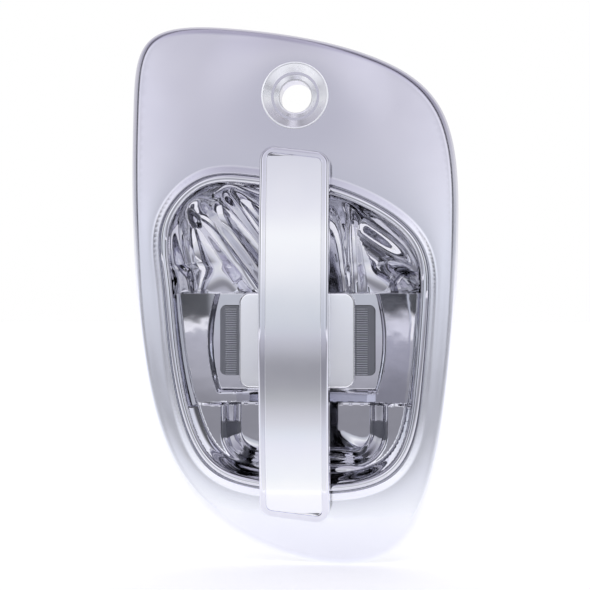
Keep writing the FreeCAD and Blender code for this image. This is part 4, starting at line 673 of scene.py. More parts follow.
# ---- Bezel --------------------------------------------------------------------------------------------
@dataclass
class Bezel:
    """Crowned escutcheon with a rounded lip, a land round the cup and a conical lock dish.

    Args:
        outline: Its edge.
        mouth: The cup's mouth, which its opening follows.
        foot_y: Its foot, which sits on the gasket.
        lip_y: Where the straight part of its edge ends.
        lip: Radius of its rounded lip.
        crown: Rise of its face from the lip to the land.
        land: Where the flat land starts outside the mouth.
        opening: Gap from the mouth to its opening.
        flare: How far its face rises to the opening's edge.
        wall: Wall thickness.
        dish: Outer radius of the ring, radius of the cone, radius of its floor.
        dish_depth: Depth of the cone.
        level: How far outside the dish the face is level.
        bore: Radius of the lock bore.
        collar: Outer radius of the collar, and where it ends.
        notch: Room over the hinge's axis in the opening's notch.
        sides: How many sides its circles have.
    """

    outline: Outline
    mouth: Outline
    foot_y: float = -1.0
    lip_y: float = -4.0
    lip: float = 4.0
    crown: float = 2.0
    land: float = 8.0
    opening: float = 4.1
    flare: float = 0.75
    wall: float = 2.5
    dish: tuple[float, float, float] = (15.3, 14.3, 7.85)
    dish_depth: float = 4.8
    level: float = 30.0
    bore: float = 7.35
    collar: tuple[float, float] = (9.85, 8.0)
    notch: float = 5.1
    sides: int = 96

    def opening_ring(self) -> np.ndarray:
        """The opening, with the notch that the hinge leg swings in.

        Returns:
            One radius for each angle.
        """
        ring = self.mouth.radii(self.opening)
        low, high = box_mm("hinge_pin")
        knuckle = box_mm("hinge_bushes")
        angle = self.mouth.angles()
        reach = (low[2] + high[2]) / 2 + self.notch - self.mouth.centre_z
        reach = reach / np.maximum(np.sin(angle), 0.2)
        across = reach * np.cos(angle)
        inside = (across > knuckle[0][0]) & (across < knuckle[1][0]) & (np.sin(angle) > 0.5)
        return np.where(inside, np.maximum(ring, reach), ring)

    def face(self, x: np.ndarray, z: np.ndarray) -> np.ndarray:
        """Height of the face, crowned, level round the dish and flared up to the opening.

        Args:
            x: Places across.
            z: Places up.

        Returns:
            Its y over the places.
        """
        lip = self.outline.at(self.outline.radii(-self.lip), x, z)
        land = self.mouth.at(self.mouth.radii(self.land), x, z)
        opening = self.mouth.at(self.mouth.radii(self.opening), x, z)
        radius = np.hypot(x, z - self.mouth.centre_z)
        width = np.maximum(lip - land, 0.5)
        # Narrow places get less crown, or the side would be too steep.
        crown = self.crown * (0.2 + 0.8 * smoothstep(0.0, 45.0, width))
        share = np.clip((lip - radius) / width, 0.0, 1.0)
        top = self.lip_y - self.lip - self.crown
        crowned = top + crown * (1 - np.sin(share * math.pi / 2))
        level = smoothstep(self.dish[0] + self.level, self.dish[0] + 0.4, np.hypot(x, z))
        level_face = crowned + (top + 0.1 - crowned) * level
        into = np.maximum((land - radius) / (land - opening), 0.0)
        return level_face - self.flare * into * smoothstep(-0.1, 0.6, into)

    def keep(self, inner: np.ndarray, outer: np.ndarray,
             hole: float) -> Callable[[np.ndarray, np.ndarray], np.ndarray]:
        """A test for places between two rings and outside a round hole.

        Args:
            inner: The ring inside.
            outer: The ring outside.
            hole: Radius of the hole about the lock's axis.

        Returns:
            The test.
        """
        def test(x: np.ndarray, z: np.ndarray) -> np.ndarray:
            """Whether places belong.

            Args:
                x: Places across.
                z: Places up.

            Returns:
                True where they do.
            """
            radius = np.hypot(x, z - self.mouth.centre_z)
            return ((radius > self.mouth.at(inner, x, z) + 0.01)
                    & (radius < self.outline.at(outer, x, z) - 0.01) & (np.hypot(x, z) > hole + 0.01))
        return test

    def build(self) -> None:
        """Makes the bezel, dresses it and ties it to its body."""
        skin = Skin()
        out, mouth = self.outline, self.mouth
        crest = self.lip_y - self.lip
        lip = [(0.0, self.foot_y), (0.0, self.lip_y)]
        lip += round_edge((0.0, self.lip_y), (-self.lip, crest), (0.0, crest), 10)[1:]
        open_ring = self.opening_ring()
        rounded = open_ring + 0.5
        lip_ring = out.radii(-self.lip)
        lift = self.face(*out.flat(lip_ring).T) - crest
        skin.rows([out.ring(out.radii(grow), y + lift * (y < self.foot_y)) for grow, y in lip])
        shares = np.linspace(0, 1, 26)[1:-1]
        places = [mouth.flat(rounded + (lip_ring - rounded) * share)[::2] for share in shares]
        circle = np.arange(self.sides) * 2 * math.pi / self.sides
        turns = np.stack([np.cos(circle), np.sin(circle)], axis=1)
        places += [turns * (self.dish[0] + grow) for grow in (0.5, 1.2, 2.2, 3.5, 5.0, 7.0, 9.0)]
        places += [mouth.flat(mouth.radii(self.land + grow))
                   for grow in (1.0, 0.4, 0.15, 0.0, -0.15, -0.4, -0.7, -1.2)]
        skin.sheet(places, [out.flat(lip_ring), mouth.flat(rounded), turns * self.dish[0]], self.face,
                   self.keep(rounded, lip_ring, self.dish[0]))
        edge_y = self.face(*mouth.flat(rounded).T)
        top = crest - self.crown
        skin.rows([mouth.ring(rounded, edge_y), mouth.ring(open_ring + 0.15, edge_y + 0.15),
                   mouth.ring(open_ring, edge_y + 0.4), mouth.ring(open_ring, top + self.wall)])
        self.dish_and_bore(skin, top + 0.1)
        self.back(skin, open_ring, turns)
        piece = skin.build("bezel_shell", dressed(BEZEL_CHROME), dressed(DISH_CHROME))
        settle(piece, "escutcheon", "bezel_chrome", "bezel")

    def dish_and_bore(self, skin: Skin, top: float) -> None:
        """Adds the lock dish, the bore and the collar's end.

        Args:
            skin: The mesh that is added to.
            top: Where the dish starts, as y.
        """
        floor = top + self.dish_depth
        ring, cone, foot = self.dish
        collar, end = self.collar
        turned = ([(ring, top), (ring - 0.3, top - 0.08), (ring - 0.75, top - 0.08), (cone, top + 0.1)],
                  [(cone, top + 0.1), (foot + 0.2, floor - 0.1)],
                  [(foot + 0.2, floor - 0.1), (self.bore + 0.15, floor), (self.bore, floor + 0.2)])
        plain = ([(self.bore, floor + 0.2), (self.bore, end)], [(self.bore, end), (collar, end)])
        for kind, profiles in ((1, turned), (0, plain)):
            skin.kind = kind
            for profile in profiles:
                skin.lathe(profile, (0, 0, 0), self.sides)

    def back(self, skin: Skin, open_ring: np.ndarray, turns: np.ndarray) -> None:
        """Adds the collar's side, the back of the face and the inside of the edge.

        Args:
            skin: The mesh that is added to.
            open_ring: Radii of the opening.
            turns: Points of a circle of radius 1.
        """
        out, mouth = self.outline, self.mouth
        collar, end = self.collar
        back_ring = out.radii(-self.lip - 1.0)

        def height(x: np.ndarray, z: np.ndarray) -> np.ndarray:
            """Height of the back of the face, as y."""
            return np.minimum(self.face(x, z) + self.wall, -self.wall - 1.0)

        foot = float(height(np.array([collar]), np.array([0.0]))[0])
        skin.lathe([(collar, end), (collar, foot)], (0, 0, 0), self.sides)
        places = [mouth.flat(open_ring + (back_ring - open_ring) * share)[::4]
                  for share in np.linspace(0, 1, 10)[1:-1]]
        skin.sheet(places, [out.flat(back_ring), mouth.flat(open_ring), turns * collar], height,
                   self.keep(open_ring, back_ring, collar))
        edge = height(*out.flat(back_ring).T)
        inside = out.radii(-self.wall)
        skin.rows([out.ring(back_ring, edge), out.ring(out.radii(-self.wall - 0.8), edge + 0.7),
                   out.ring(inside, -3.2), out.ring(inside, self.foot_y),
                   out.ring(out.radii(0.0), self.foot_y)])


# ---- Cup ----------------------------------------------------------------------------------------------
@dataclass
class Cup:
    """Finger cup: rolled rim, deep bowl, hollow-faced bridge with a lamp pocket, and the lower channel.

    Args:
        mouth: Its mouth.
        rim_y: Crest of the rolled rim.
        roll: Width of the rolled rim.
        flange: Flange's edge outside the mouth, its front and its back.
        start_y: Where the bowl's wall starts under the rim.
        floor_y: Bottom of the bowl.
        curve: Powers of the bowl's profile: its upper part, its lower part, and its rounding.
        bridge: Heights of the bridge's lower and upper edge.
        bridge_y: Depth of its face at the middle and at its reach.
        reach: Distance from the middle where the second depth holds.
        pocket: Half width of the lamp pocket at its middle height, how much less at its ends, and its
            half height.
        ledge_y: Depth of the ledge below the bridge.
        channel: Middle (x, z), width and height of the channel, and its corner.
        channel_y: Depth of the channel.
        channel_wall: Width of its sloping wall.
        step: Width of the crisp steps.
        wall: Wall thickness.
        window: Width, height and corner of the lamp's window.
        slot: Height of the pull leg's slot, its width, its own height and its corner.
        boss: Radius of a screw boss, radius of its hole, where it starts and where it ends.
        creases: Moulded creases in the bowl: both ends (x, z), their rise and their spread.
    """

    mouth: Outline
    rim_y: float = -11.0
    roll: float = 3.8
    flange: tuple[float, float, float] = (6.5, -7.5, -5.5)
    start_y: float = -9.2
    floor_y: float = 20.0
    curve: tuple[float, float, float] = (5.0, 11.0, 1.5)
    bridge: tuple[float, float] = (-141.4, -89.2)
    bridge_y: tuple[float, float] = (14.0, 4.0)
    reach: float = 50.0
    pocket: tuple[float, float, float] = (40.5, 3.6, 23.0)
    ledge_y: float = 6.0
    channel: tuple[float, float, float, float, float] = (3.0, -140.0, 78.0, 62.0, 17.0)
    channel_y: float = 17.0
    channel_wall: float = 9.0
    step: float = 1.5
    wall: float = 2.4
    window: tuple[float, float, float] = (73.0, 33.0, 2.8)
    slot: tuple[float, float, float, float] = (-157.9, 9.6, 14.2, 0.8)
    boss: tuple[float, float, float, float] = (3.2, 1.6, 20.5, 26.95)
    creases: tuple[tuple[float, float, float, float, float, float], ...] = (
        (-47.0, -50.0, -17.0, -92.0, 5.0, 5.5), (-30.0, -44.0, -8.0, -74.0, 3.5, 4.0),
        (23.0, -40.0, 27.0, -92.0, 4.5, 4.0), (30.0, -62.0, 56.0, -80.0, 3.0, 4.5),
        (20.0, -156.0, 32.0, -165.0, 1.6, 3.5))

    def lamp(self) -> tuple[float, float]:
        """The middle (x, z) of the lamp."""
        low, high = box_mm("lamp_lens")
        return (low[0] + high[0]) / 2, (low[2] + high[2]) / 2

    def holes(self) -> tuple[tuple[tuple[float, float], tuple[float, float], float], ...]:
        """The lamp's window and the pull leg's slot.

        Returns:
            Middle, size and corner radius of each.
        """
        low, high = box_mm("pull_pin")
        z, width, height, corner = self.slot
        return ((self.lamp(), self.window[:2], self.window[2]),
                (((low[0] + high[0]) / 2, z), (width, height), corner))

    def crease(self, x: np.ndarray, z: np.ndarray) -> np.ndarray:
        """How far the moulded creases stand out of the bowl.

        Args:
            x: Places across.
            z: Places up.

        Returns:
            Their height over the places.
        """
        height = np.zeros_like(x)
        for x0, z0, x1, z1, rise, spread in self.creases:
            along_x, along_z = x1 - x0, z1 - z0
            share = ((x - x0) * along_x + (z - z0) * along_z) / (along_x ** 2 + along_z ** 2)
            share = np.clip(share, 0.0, 1.0)
            away = np.hypot(x - x0 - share * along_x, z - z0 - share * along_z)
            height = np.maximum(height, rise * np.exp(-(away / spread) ** 2))
        return height

    def depth(self, x: np.ndarray, z: np.ndarray) -> np.ndarray:
        """Depth of the cup's face.

        Args:
            x: Places across.
            z: Places up.

        Returns:
            Its y over the places.
        """
        slack, steep, round_power = self.curve
        power = slack + (steep - slack) * smoothstep(self.bridge[1] + 14.0, self.bridge[1] - 2.0, z)
        share = np.hypot(x, z - self.mouth.centre_z) / self.mouth.at(self.mouth.radii(), x, z)
        inward = np.maximum(1.0 - share ** power, 0.0) ** (1.0 / round_power)
        bowl = self.start_y + (self.floor_y - self.start_y) * inward
        bowl = bowl - self.crease(x, z) * smoothstep(0.0, 0.55, inward)
        low, high = self.bridge
        half = self.step / 2
        arc = self.bridge_y[0] - (self.bridge_y[0] - self.bridge_y[1]) * (x / self.reach) ** 2
        lamp_x, lamp_z = self.lamp()
        middle, narrowing, tall = self.pocket
        side = middle - narrowing * ((z - lamp_z) / tall) ** 2
        in_pocket = smoothstep(side + 1.2, side - 0.8, np.abs(x - lamp_x))
        in_pocket = in_pocket * smoothstep(lamp_z - tall - 1.6, lamp_z - tall, z)
        bridge = arc + (self.bridge_y[0] - arc) * in_pocket
        channel_x, channel_z, width, height, corner = self.channel
        inside = -rounded_box(x, z, (channel_x, channel_z), (width, height), corner)
        trough = self.ledge_y + (self.channel_y - self.ledge_y) * smoothstep(-0.5, self.channel_wall, inside)
        upper = np.full_like(x, self.floor_y + 12.0)
        room = trough + (bridge - trough) * smoothstep(low - half, low + half, z)
        room = room + (upper - room) * smoothstep(high - half, high + half, z)
        return soft_min(bowl, room, 1.6)

    def back(self, x: np.ndarray, z: np.ndarray) -> np.ndarray:
        """Depth of the cup's back, one wall thickness from its face.

        Args:
            x: Places across.
            z: Places up.

        Returns:
            Its y over the places.
        """
        deepest = np.full_like(x, self.flange[2])
        for share in (0.0, 0.35, 0.7, 0.9, 0.99):
            lift = self.wall * math.sqrt(1 - share * share)
            turns = 1 if share == 0.0 else 12
            for turn in range(turns):
                angle = 2 * math.pi * turn / turns
                near = self.depth(x + self.wall * share * math.cos(angle),
                                  z + self.wall * share * math.sin(angle))
                deepest = np.maximum(deepest, near + lift)
        return deepest

    def band(self, z: float, half: float) -> list[np.ndarray]:
        """Rows of points across the cup where it steps at a height.

        Args:
            z: Height of the step.
            half: Half the width of the step.

        Returns:
            Groups of (x, z) points.
        """
        rows = []
        for share in (-1.6, -1.0, -0.75, -0.5, -0.2, 0.2, 0.5, 0.75, 1.0, 1.6):
            x = np.arange(-64.0, 64.0, 0.9)
            rows.append(np.stack([x, np.full_like(x, z + share * half)], axis=1))
        return rows

    def edge_ring(self) -> np.ndarray:
        """The flange's edge, drawn in where the hinge and its spring stand.

        Returns:
            One radius for each angle.
        """
        angle = self.mouth.angles()
        flange = self.mouth.radii(self.flange[0])
        knuckle, spring = box_mm("hinge_bushes"), box_mm("handle_return_spring")
        limit = (knuckle[0][2] - 2.2 - self.mouth.centre_z) / np.maximum(np.sin(angle), 0.2)
        across = limit * np.cos(angle)
        near = (np.sin(angle) > 0.5) & (across > knuckle[0][0] - 5) & (across < spring[1][0] + 5)
        rim = self.mouth.radii(self.roll)
        return np.where(near, np.maximum(rim + 0.1, np.minimum(flange, limit)), flange)

    def places(self) -> list[np.ndarray]:
        """Places for the face's mesh, denser where it bends.

        Returns:
            Groups of (x, z) points.
        """
        _, power, round_power = self.curve
        ring = self.mouth.radii()
        levels = np.array([0.01, 0.03, 0.06, 0.1, 0.15, 0.2, 0.26, 0.32, 0.38, 0.44, 0.5, 0.56, 0.62, 0.68,
                           0.74, 0.8])
        shares = (1.0 - levels ** round_power) ** (1.0 / power)
        groups = [self.mouth.flat(ring * share) for share in shares]
        grid_x, grid_z = np.meshgrid(np.arange(-60.0, 60.0, 1.1), np.arange(-176.0, -40.0, 1.1))
        groups.append(np.stack([grid_x.ravel(), grid_z.ravel()], axis=1))
        for height in self.bridge:
            groups += self.band(height, self.step / 2)
        lamp_x, lamp_z = self.lamp()
        middle, narrowing, tall = self.pocket
        up = np.arange(-24.0, 23.0, 0.8)
        for side in (-1, 1):
            for shift in (-0.9, -0.4, 0.0, 0.4, 0.9, 1.3):
                reach = middle - narrowing * (up / tall) ** 2 + shift
                groups.append(np.stack([lamp_x + side * reach, lamp_z + up], axis=1))
        channel_x, channel_z, width, height, corner = self.channel
        for shift in (-1.0, -0.3, 0.4, 1.2, 2.2, 3.4, 4.8, 6.4, 8.0, 9.0):
            groups.append(rounded_loop((channel_x, channel_z), (width - 2 * shift, height - 2 * shift),
                                       corner - shift, 1.0))
        return groups

    def keep(self, ring: np.ndarray, share: float,
             inset: float) -> Callable[[np.ndarray, np.ndarray], np.ndarray]:
        """A test for places inside a ring and outside the window and the slot.

        Args:
            ring: Radii of the ring.
            share: Share of the ring's radius that is kept.
            inset: How far inside that the places have to be.

        Returns:
            The test.
        """
        holes = self.holes()

        def test(x: np.ndarray, z: np.ndarray) -> np.ndarray:
            """Whether places belong.

            Args:
                x: Places across.
                z: Places up.

            Returns:
                True where they do.
            """
            inside = np.hypot(x, z - self.mouth.centre_z) < self.mouth.at(ring, x, z) * share - inset
            for centre, size, corner in holes:
                inside = inside & (rounded_box(x, z, centre, size, corner) > 0.02)
            return inside
        return test

    def build(self) -> None:
        """Makes the cup, dresses it and ties it to its body."""
        skin = Skin()
        mouth = self.mouth
        _, front_y, back_y = self.flange
        flange = self.edge_ring()
        skin.rows([mouth.ring(flange, back_y), mouth.ring(flange, front_y)])
        skin.rows([mouth.ring(flange, front_y), mouth.ring(mouth.radii(self.roll), front_y)])
        roll = [(self.roll, front_y)]
        half = self.roll / 2
        for turn in range(0, 13):
            bend = math.pi * turn / 12
            roll.append((half + half * math.cos(bend), self.rim_y + half - half * math.sin(bend)))
        skin.rows([mouth.ring(mouth.radii(grow), y) for grow, y in roll]
                  + [mouth.ring(mouth.radii(), self.start_y + 0.1)])
        loops = [rounded_loop(centre, size, corner, 1.0) for centre, size, corner in self.holes()]

        def face(x: np.ndarray, z: np.ndarray) -> np.ndarray:
            """The cup's face, which meets the rolled rim at the mouth."""
            return np.maximum(self.depth(x, z), self.start_y + 0.1)

        ring = mouth.radii()
        skin.sheet(self.places(), [mouth.flat(ring), *loops], face, self.keep(ring, 0.9995, 0.0))
        behind = [mouth.flat(mouth.radii(grow))
                  for grow in (2.8, 2.4, 2.2, 1.8, 1.2, 0.5, -0.4, -1.5, -3.0, -5.0)]
        grid_x, grid_z = np.meshgrid(np.arange(-62.0, 62.0, 1.9), np.arange(-178.0, -38.0, 1.9))
        behind.append(np.stack([grid_x.ravel(), grid_z.ravel()], axis=1))
        skin.sheet(behind, [mouth.flat(flange), *loops], self.back, self.keep(flange, 1.0, 0.01))
        for loop in loops:
            x, z = loop.T
            skin.rows([np.stack([x, face(x, z), z], axis=1), np.stack([x, self.back(x, z), z], axis=1)])
        outer, hole, start, end = self.boss
        steps = [(outer, start), (outer, end), (hole, end), (hole, start), (outer, start)]
        for low, high in islands("cup_screws"):
            centre = ((low[0] + high[0]) / 2, 0, (low[2] + high[2]) / 2)
            for here, ahead in zip(steps, steps[1:]):
                skin.lathe([here, ahead], centre, 32)
        piece = skin.build("finger_cup", dressed(CUP_CHROME))
        settle(piece, "escutcheon", "cup_chrome", "cup")


# ---- Grab bar -----------------------------------------------------------------------------------------
@dataclass
class GrabBar:
    """Bowed bar: an open-backed shell with a bright inlay on its face.

    Args:
        size: Width and length.
        corner: Corner radius of its outline.
        slant: Half the drop of each end to the right.
        crest_y: Its foremost place.
        bow: Rise of its face between its ends.
        thickness: Thickness of the shell.
        wall: Thickness of its side wall, and depth of its hollow's floor.
        edge: Radius of its front edge.
        inlay: Inset of the inlay's seat, of the inlay, its recess, its rise over the bar and its edge radius.
    """

    size: tuple[float, float] = (31.0, 165.0)
    corner: float = 6.0
    slant: float = 1.9
    crest_y: float = -33.0
    bow: float = 8.5
    thickness: float = 11.0
    wall: tuple[float, float] = (2.4, 3.4)
    edge: float = 1.5
    inlay: tuple[float, float, float, float, float] = (2.75, 3.1, 1.2, 0.5, 0.3)

    def middle(self) -> tuple[float, float]:
        """The middle (x, z) of the bar."""
        low, high = box_mm("handle_bar")
        return (low[0] + high[0]) / 2, (low[2] + high[2]) / 2

    def radius(self) -> float:
        """Radius of the bowed face."""
        return ((self.size[1] / 2) ** 2 + self.bow ** 2) / (2 * self.bow)

    def ring(self, inset: float, depth: float) -> np.ndarray:
        """The outline moved in and laid at a depth under the bowed face.

        Args:
            inset: How far it is moved in.
            depth: Depth under the face.

        Returns:
            (n, 3) points with the same count for every inset: up the right side, then down the left.
        """
        x0, z0 = self.middle()
        half_w, half_l = self.size[0] / 2 - inset, self.size[1] / 2 - inset
        drop = self.slant * half_w / (self.size[0] / 2)
        corners = [np.array(c) for c in ((half_w, -half_l - drop), (half_w, half_l - drop),
                                         (-half_w, half_l + drop), (-half_w, -half_l + drop))]
        bend = max(self.corner - inset, 0.3)
        places = []
        for index, corner in enumerate(corners):
            before = corners[index - 1] - corner
            after = corners[(index + 1) % 4] - corner
            before, after = before / np.linalg.norm(before), after / np.linalg.norm(after)
            half = math.acos(float(np.clip(before @ after, -1, 1))) / 2
            start, end = corner + before * bend / math.tan(half), corner + after * bend / math.tan(half)
            centre = corner + (before + after) / np.linalg.norm(before + after) * bend / math.sin(half)
            first = math.atan2(*(start - centre)[::-1])
            turn = (math.atan2(*(end - centre)[::-1]) - first) % (2 * math.pi)
            angles = [first + turn * k / 8 for k in range(9)]
            places += [centre + bend * np.array([math.cos(a), math.sin(a)]) for a in angles]
            following = corners[(index + 1) % 4]
            back = (corner - following) / np.linalg.norm(corner - following)
            ahead = following + back * bend / math.tan(math.pi / 2 - half)
            pieces = 48 if index % 2 == 0 else 12
            places += [end + (ahead - end) * k / pieces for k in range(1, pieces)]
        flat = np.array(places)
        big = self.radius()
        y = self.crest_y + big - np.sqrt((big - depth) ** 2 - flat[:, 1] ** 2)
        return np.stack([x0 + flat[:, 0], y, z0 + flat[:, 1]], axis=1)

    def facing(self, points: np.ndarray) -> np.ndarray:
        """Directions square to the bowed face at places on it."""
        tilt = np.arcsin((points[:, 2] - self.middle()[1]) / self.radius())
        return np.stack([np.zeros_like(tilt), -np.cos(tilt), np.sin(tilt)], axis=1)

    def across(self, skin: Skin, inset: float, depth: float) -> None:
        """Closes a ring with strips that run straight from its left side to its right side.

        Args:
            skin: The mesh that is added to.
            inset: The ring's inset.
            depth: The ring's depth.
        """
        ring = self.ring(inset, depth)
        ring = ring[np.argsort(ring[:, 2])]
        on_right = ring[:, 0] > self.middle()[0]
        first, second = ring[~on_right], ring[on_right]
        faces: list[tuple[int, ...]] = []
        i = j = 0
        while i < len(first) - 1 or j < len(second) - 1:
            if j == len(second) - 1 or (i < len(first) - 1 and first[i + 1][2] <= second[j + 1][2]):
                faces.append((i, i + 1, len(first) + j))
                i += 1
            else:
                faces.append((i, len(first) + j + 1, len(first) + j))
                j += 1
        points = np.concatenate([first, second])
        skin.add(points, self.facing(points), faces)

    def build(self) -> None:
        """Makes the shell and the inlay, dresses them and ties them to the swinging body."""
        side, floor = self.wall
        seat, inset, recess, proud, bevel = self.inlay
        shell = Skin()
        shell.rows([self.ring(0, self.thickness * (1 - k / 4) + self.edge * k / 4) for k in range(5)])
        shell.rows([self.ring(i, d) for i, d in round_edge((0, self.edge), (self.edge, 0), (0, 0), 8)])
        shell.rows([self.ring(self.edge, 0), self.ring(seat, 0)], normal=self.facing)
        shell.rows([self.ring(seat, 0), self.ring(seat, recess)])
        self.across(shell, seat, recess)
        shell.rows([self.ring(0, self.thickness), self.ring(side, self.thickness)])
        shell.rows([self.ring(side, self.thickness), self.ring(side, floor)])
        self.across(shell, side, floor)
        piece = shell.build("grab_bar_shell", dressed(BAR_CHROME))
        settle(piece, "grab_bar", "bar_chrome", "handle_bar")
        inlay = Skin()
        self.across(inlay, inset, recess)
        inlay.rows([self.ring(inset, recess), self.ring(inset, bevel - proud)])
        inlay.rows([self.ring(i, d) for i, d in round_edge((inset, bevel - proud), (inset + bevel, -proud),
                                                           (inset, -proud), 4)])
        self.across(inlay, inset + bevel, -proud)
        face = inlay.build("grab_bar_inlay", dressed(FACE_CHROME))
        settle(face, "grab_bar", "face_chrome", "handle_face_plate")


# ---- Courtesy lamp ------------------------------------------------------------------------------------
@dataclass
class LampCap:
    """Domed cap over the lamp, notched at both sides where the lens comes out.

    Args:
        corner: Corner radius.
        edge: Radius of its front edge.
        wall: Wall thickness.
        dome: How much its middle stands over its sides.
        notch: Half height of the notch, and its y.
    """

    corner: float = 5.0
    edge: float = 1.2
    wall: float = 1.8
    dome: float = 1.5
    notch: tuple[float, float] = (16.5, 10.6)

    def bow(self, x: np.ndarray, width: float) -> np.ndarray:
        """How far the bowed front falls back at a distance x from its middle."""
        return self.dome * (2 * x / width) ** 2

    def build(self) -> None:
        """Makes the cap, dresses it and ties it to its body."""
        low, high = box_mm("lamp_cap")
        x0, z0 = (low[0] + high[0]) / 2, (low[2] + high[2]) / 2
        width, height = high[0] - low[0], high[2] - low[2]
        half, notch_y = self.notch

        def ring(inset: float, y: float | None) -> np.ndarray:
            """A ring of the cap.

            Args:
                inset: How far it is moved in.
                y: Its depth at the middle, or None to follow the notched foot.

            Returns:
                (n, 3) points.
            """
            bend = max(self.corner - inset, 0.4)
            loop = rounded_loop((x0, z0), (width - 2 * inset, height - 2 * inset), bend, 0.9)
            base = rounded_loop((x0, z0), (width, height), self.corner, 0.9)
            middle = np.array([x0, z0])
            if len(loop) != len(base):
                loop = middle + (base - middle) * np.array([1 - 2 * inset / width, 1 - 2 * inset / height])
            foot = np.where(np.abs(loop[:, 1] - z0) < half, notch_y, high[1])
            bowed = self.bow(loop[:, 0] - x0, width)
            return np.stack([loop[:, 0], foot if y is None else y + bowed, loop[:, 1]], axis=1)

        front = low[1]
        skin = Skin()
        skin.rows([ring(0.0, None), ring(0.0, front + self.edge)])
        edge = round_edge((0, front + self.edge), (self.edge, front), (0, front), 6)
        rounded = [ring(i, y) for i, y in edge]
        last = rounded[-1]
        middle = np.array([x0, 0.0, z0])
        for share in np.linspace(1, 0, 9)[1:]:
            step = middle + (last - middle) * np.array([share, 1.0, share])
            step[:, 1] = front + self.bow(step[:, 0] - x0, width)
            rounded.append(step)
        skin.rows(rounded)
        inner = front + self.wall
        skin.rows([ring(0.0, None), ring(self.wall, None)])
        skin.rows([ring(self.wall, None), ring(self.wall, inner)])
        roof = [ring(self.wall, inner)]
        for share in np.linspace(1, 0, 4)[1:]:
            roof.append(middle + (roof[0] - middle) * np.array([share, 1.0, share]))
            roof[-1][:, 1] = inner + self.bow(roof[-1][:, 0] - x0, width)
        skin.rows(roof)
        piece = skin.build("lamp_cap_shell", dressed(CAP_CHROME))
        settle(piece, "escutcheon", "cap_chrome", "lamp_cap")


def tree_inputs(tree: bpy.types.NodeTree, sizes: dict[str, float]) -> dict[str, str]:
    """Adds the geometry sockets and one named input for each size.

    Args:
        tree: The tree.
        sizes: Names and default values, in metres.

    Returns:
        Socket identifiers by name.
    """
    tree.interface.new_socket("Geometry", in_out="INPUT", socket_type="NodeSocketGeometry")
    tree.interface.new_socket("Geometry", in_out="OUTPUT", socket_type="NodeSocketGeometry")
    found = {}
    for name, value in sizes.items():
        made = tree.interface.new_socket(name, in_out="INPUT", socket_type="NodeSocketFloat")
        made.default_value = value
        found[name] = made.identifier
    return found


def spread_and_paint(tree: bpy.types.NodeTree, points: bpy.types.NodeSocket, shape: bpy.types.NodeSocket,
                     finish: bpy.types.Material) -> None:
    """Ends a tree: the shape on every point, made real and given its material.

    Args:
        tree: The tree.
        points: Where the shapes go.
        shape: The shape.
        finish: The material.
    """
    spread = add_node(tree, "GeometryNodeInstanceOnPoints", {"Points": points, "Instance": shape})
    real = add_node(tree, "GeometryNodeRealizeInstances", {0: spread.outputs[0]})
    painted = add_node(tree, "GeometryNodeSetMaterial", {"Geometry": real.outputs[0], "Material": finish})
    add_node(tree, "NodeGroupOutput", {0: painted.outputs[0]})


def baked(name: str, places: Sequence[Point], tree: bpy.types.NodeTree, values: dict[str, float],
          finish: bpy.types.Material) -> bpy.types.Object:
    """Runs a tree on points and keeps the result as a plain mesh.

    Args:
        name: The piece's name.
        places: Points in millimetres.
        tree: The tree.
        values: Socket identifiers to values.
        finish: The material that the tree sets.

    Returns:
        The object, at the origin.
    """
    seed = bpy.data.meshes.new(f"{name}_points")
    seed.from_pydata([tuple(c * MM for c in place) for place in places], [], [])
    holder = bpy.data.objects.new(f"{name}_points", seed)
    bpy.context.scene.collection.objects.link(holder)
    modifier = holder.modifiers.new(name, "NODES")
    modifier.node_group = tree
    for identifier, value in values.items():
        modifier[identifier] = value
    holder.data.update()
    bpy.context.view_layer.update()
    evaluated = holder.evaluated_get(bpy.context.evaluated_depsgraph_get())
    mesh = bpy.data.meshes.new_from_object(evaluated)
    mesh.name = name
    if not mesh.materials:
        mesh.materials.append(finish)
    piece = bpy.data.objects.new(name, mesh)
    bpy.context.scene.collection.objects.link(piece)
    bpy.data.objects.remove(holder)
    return piece


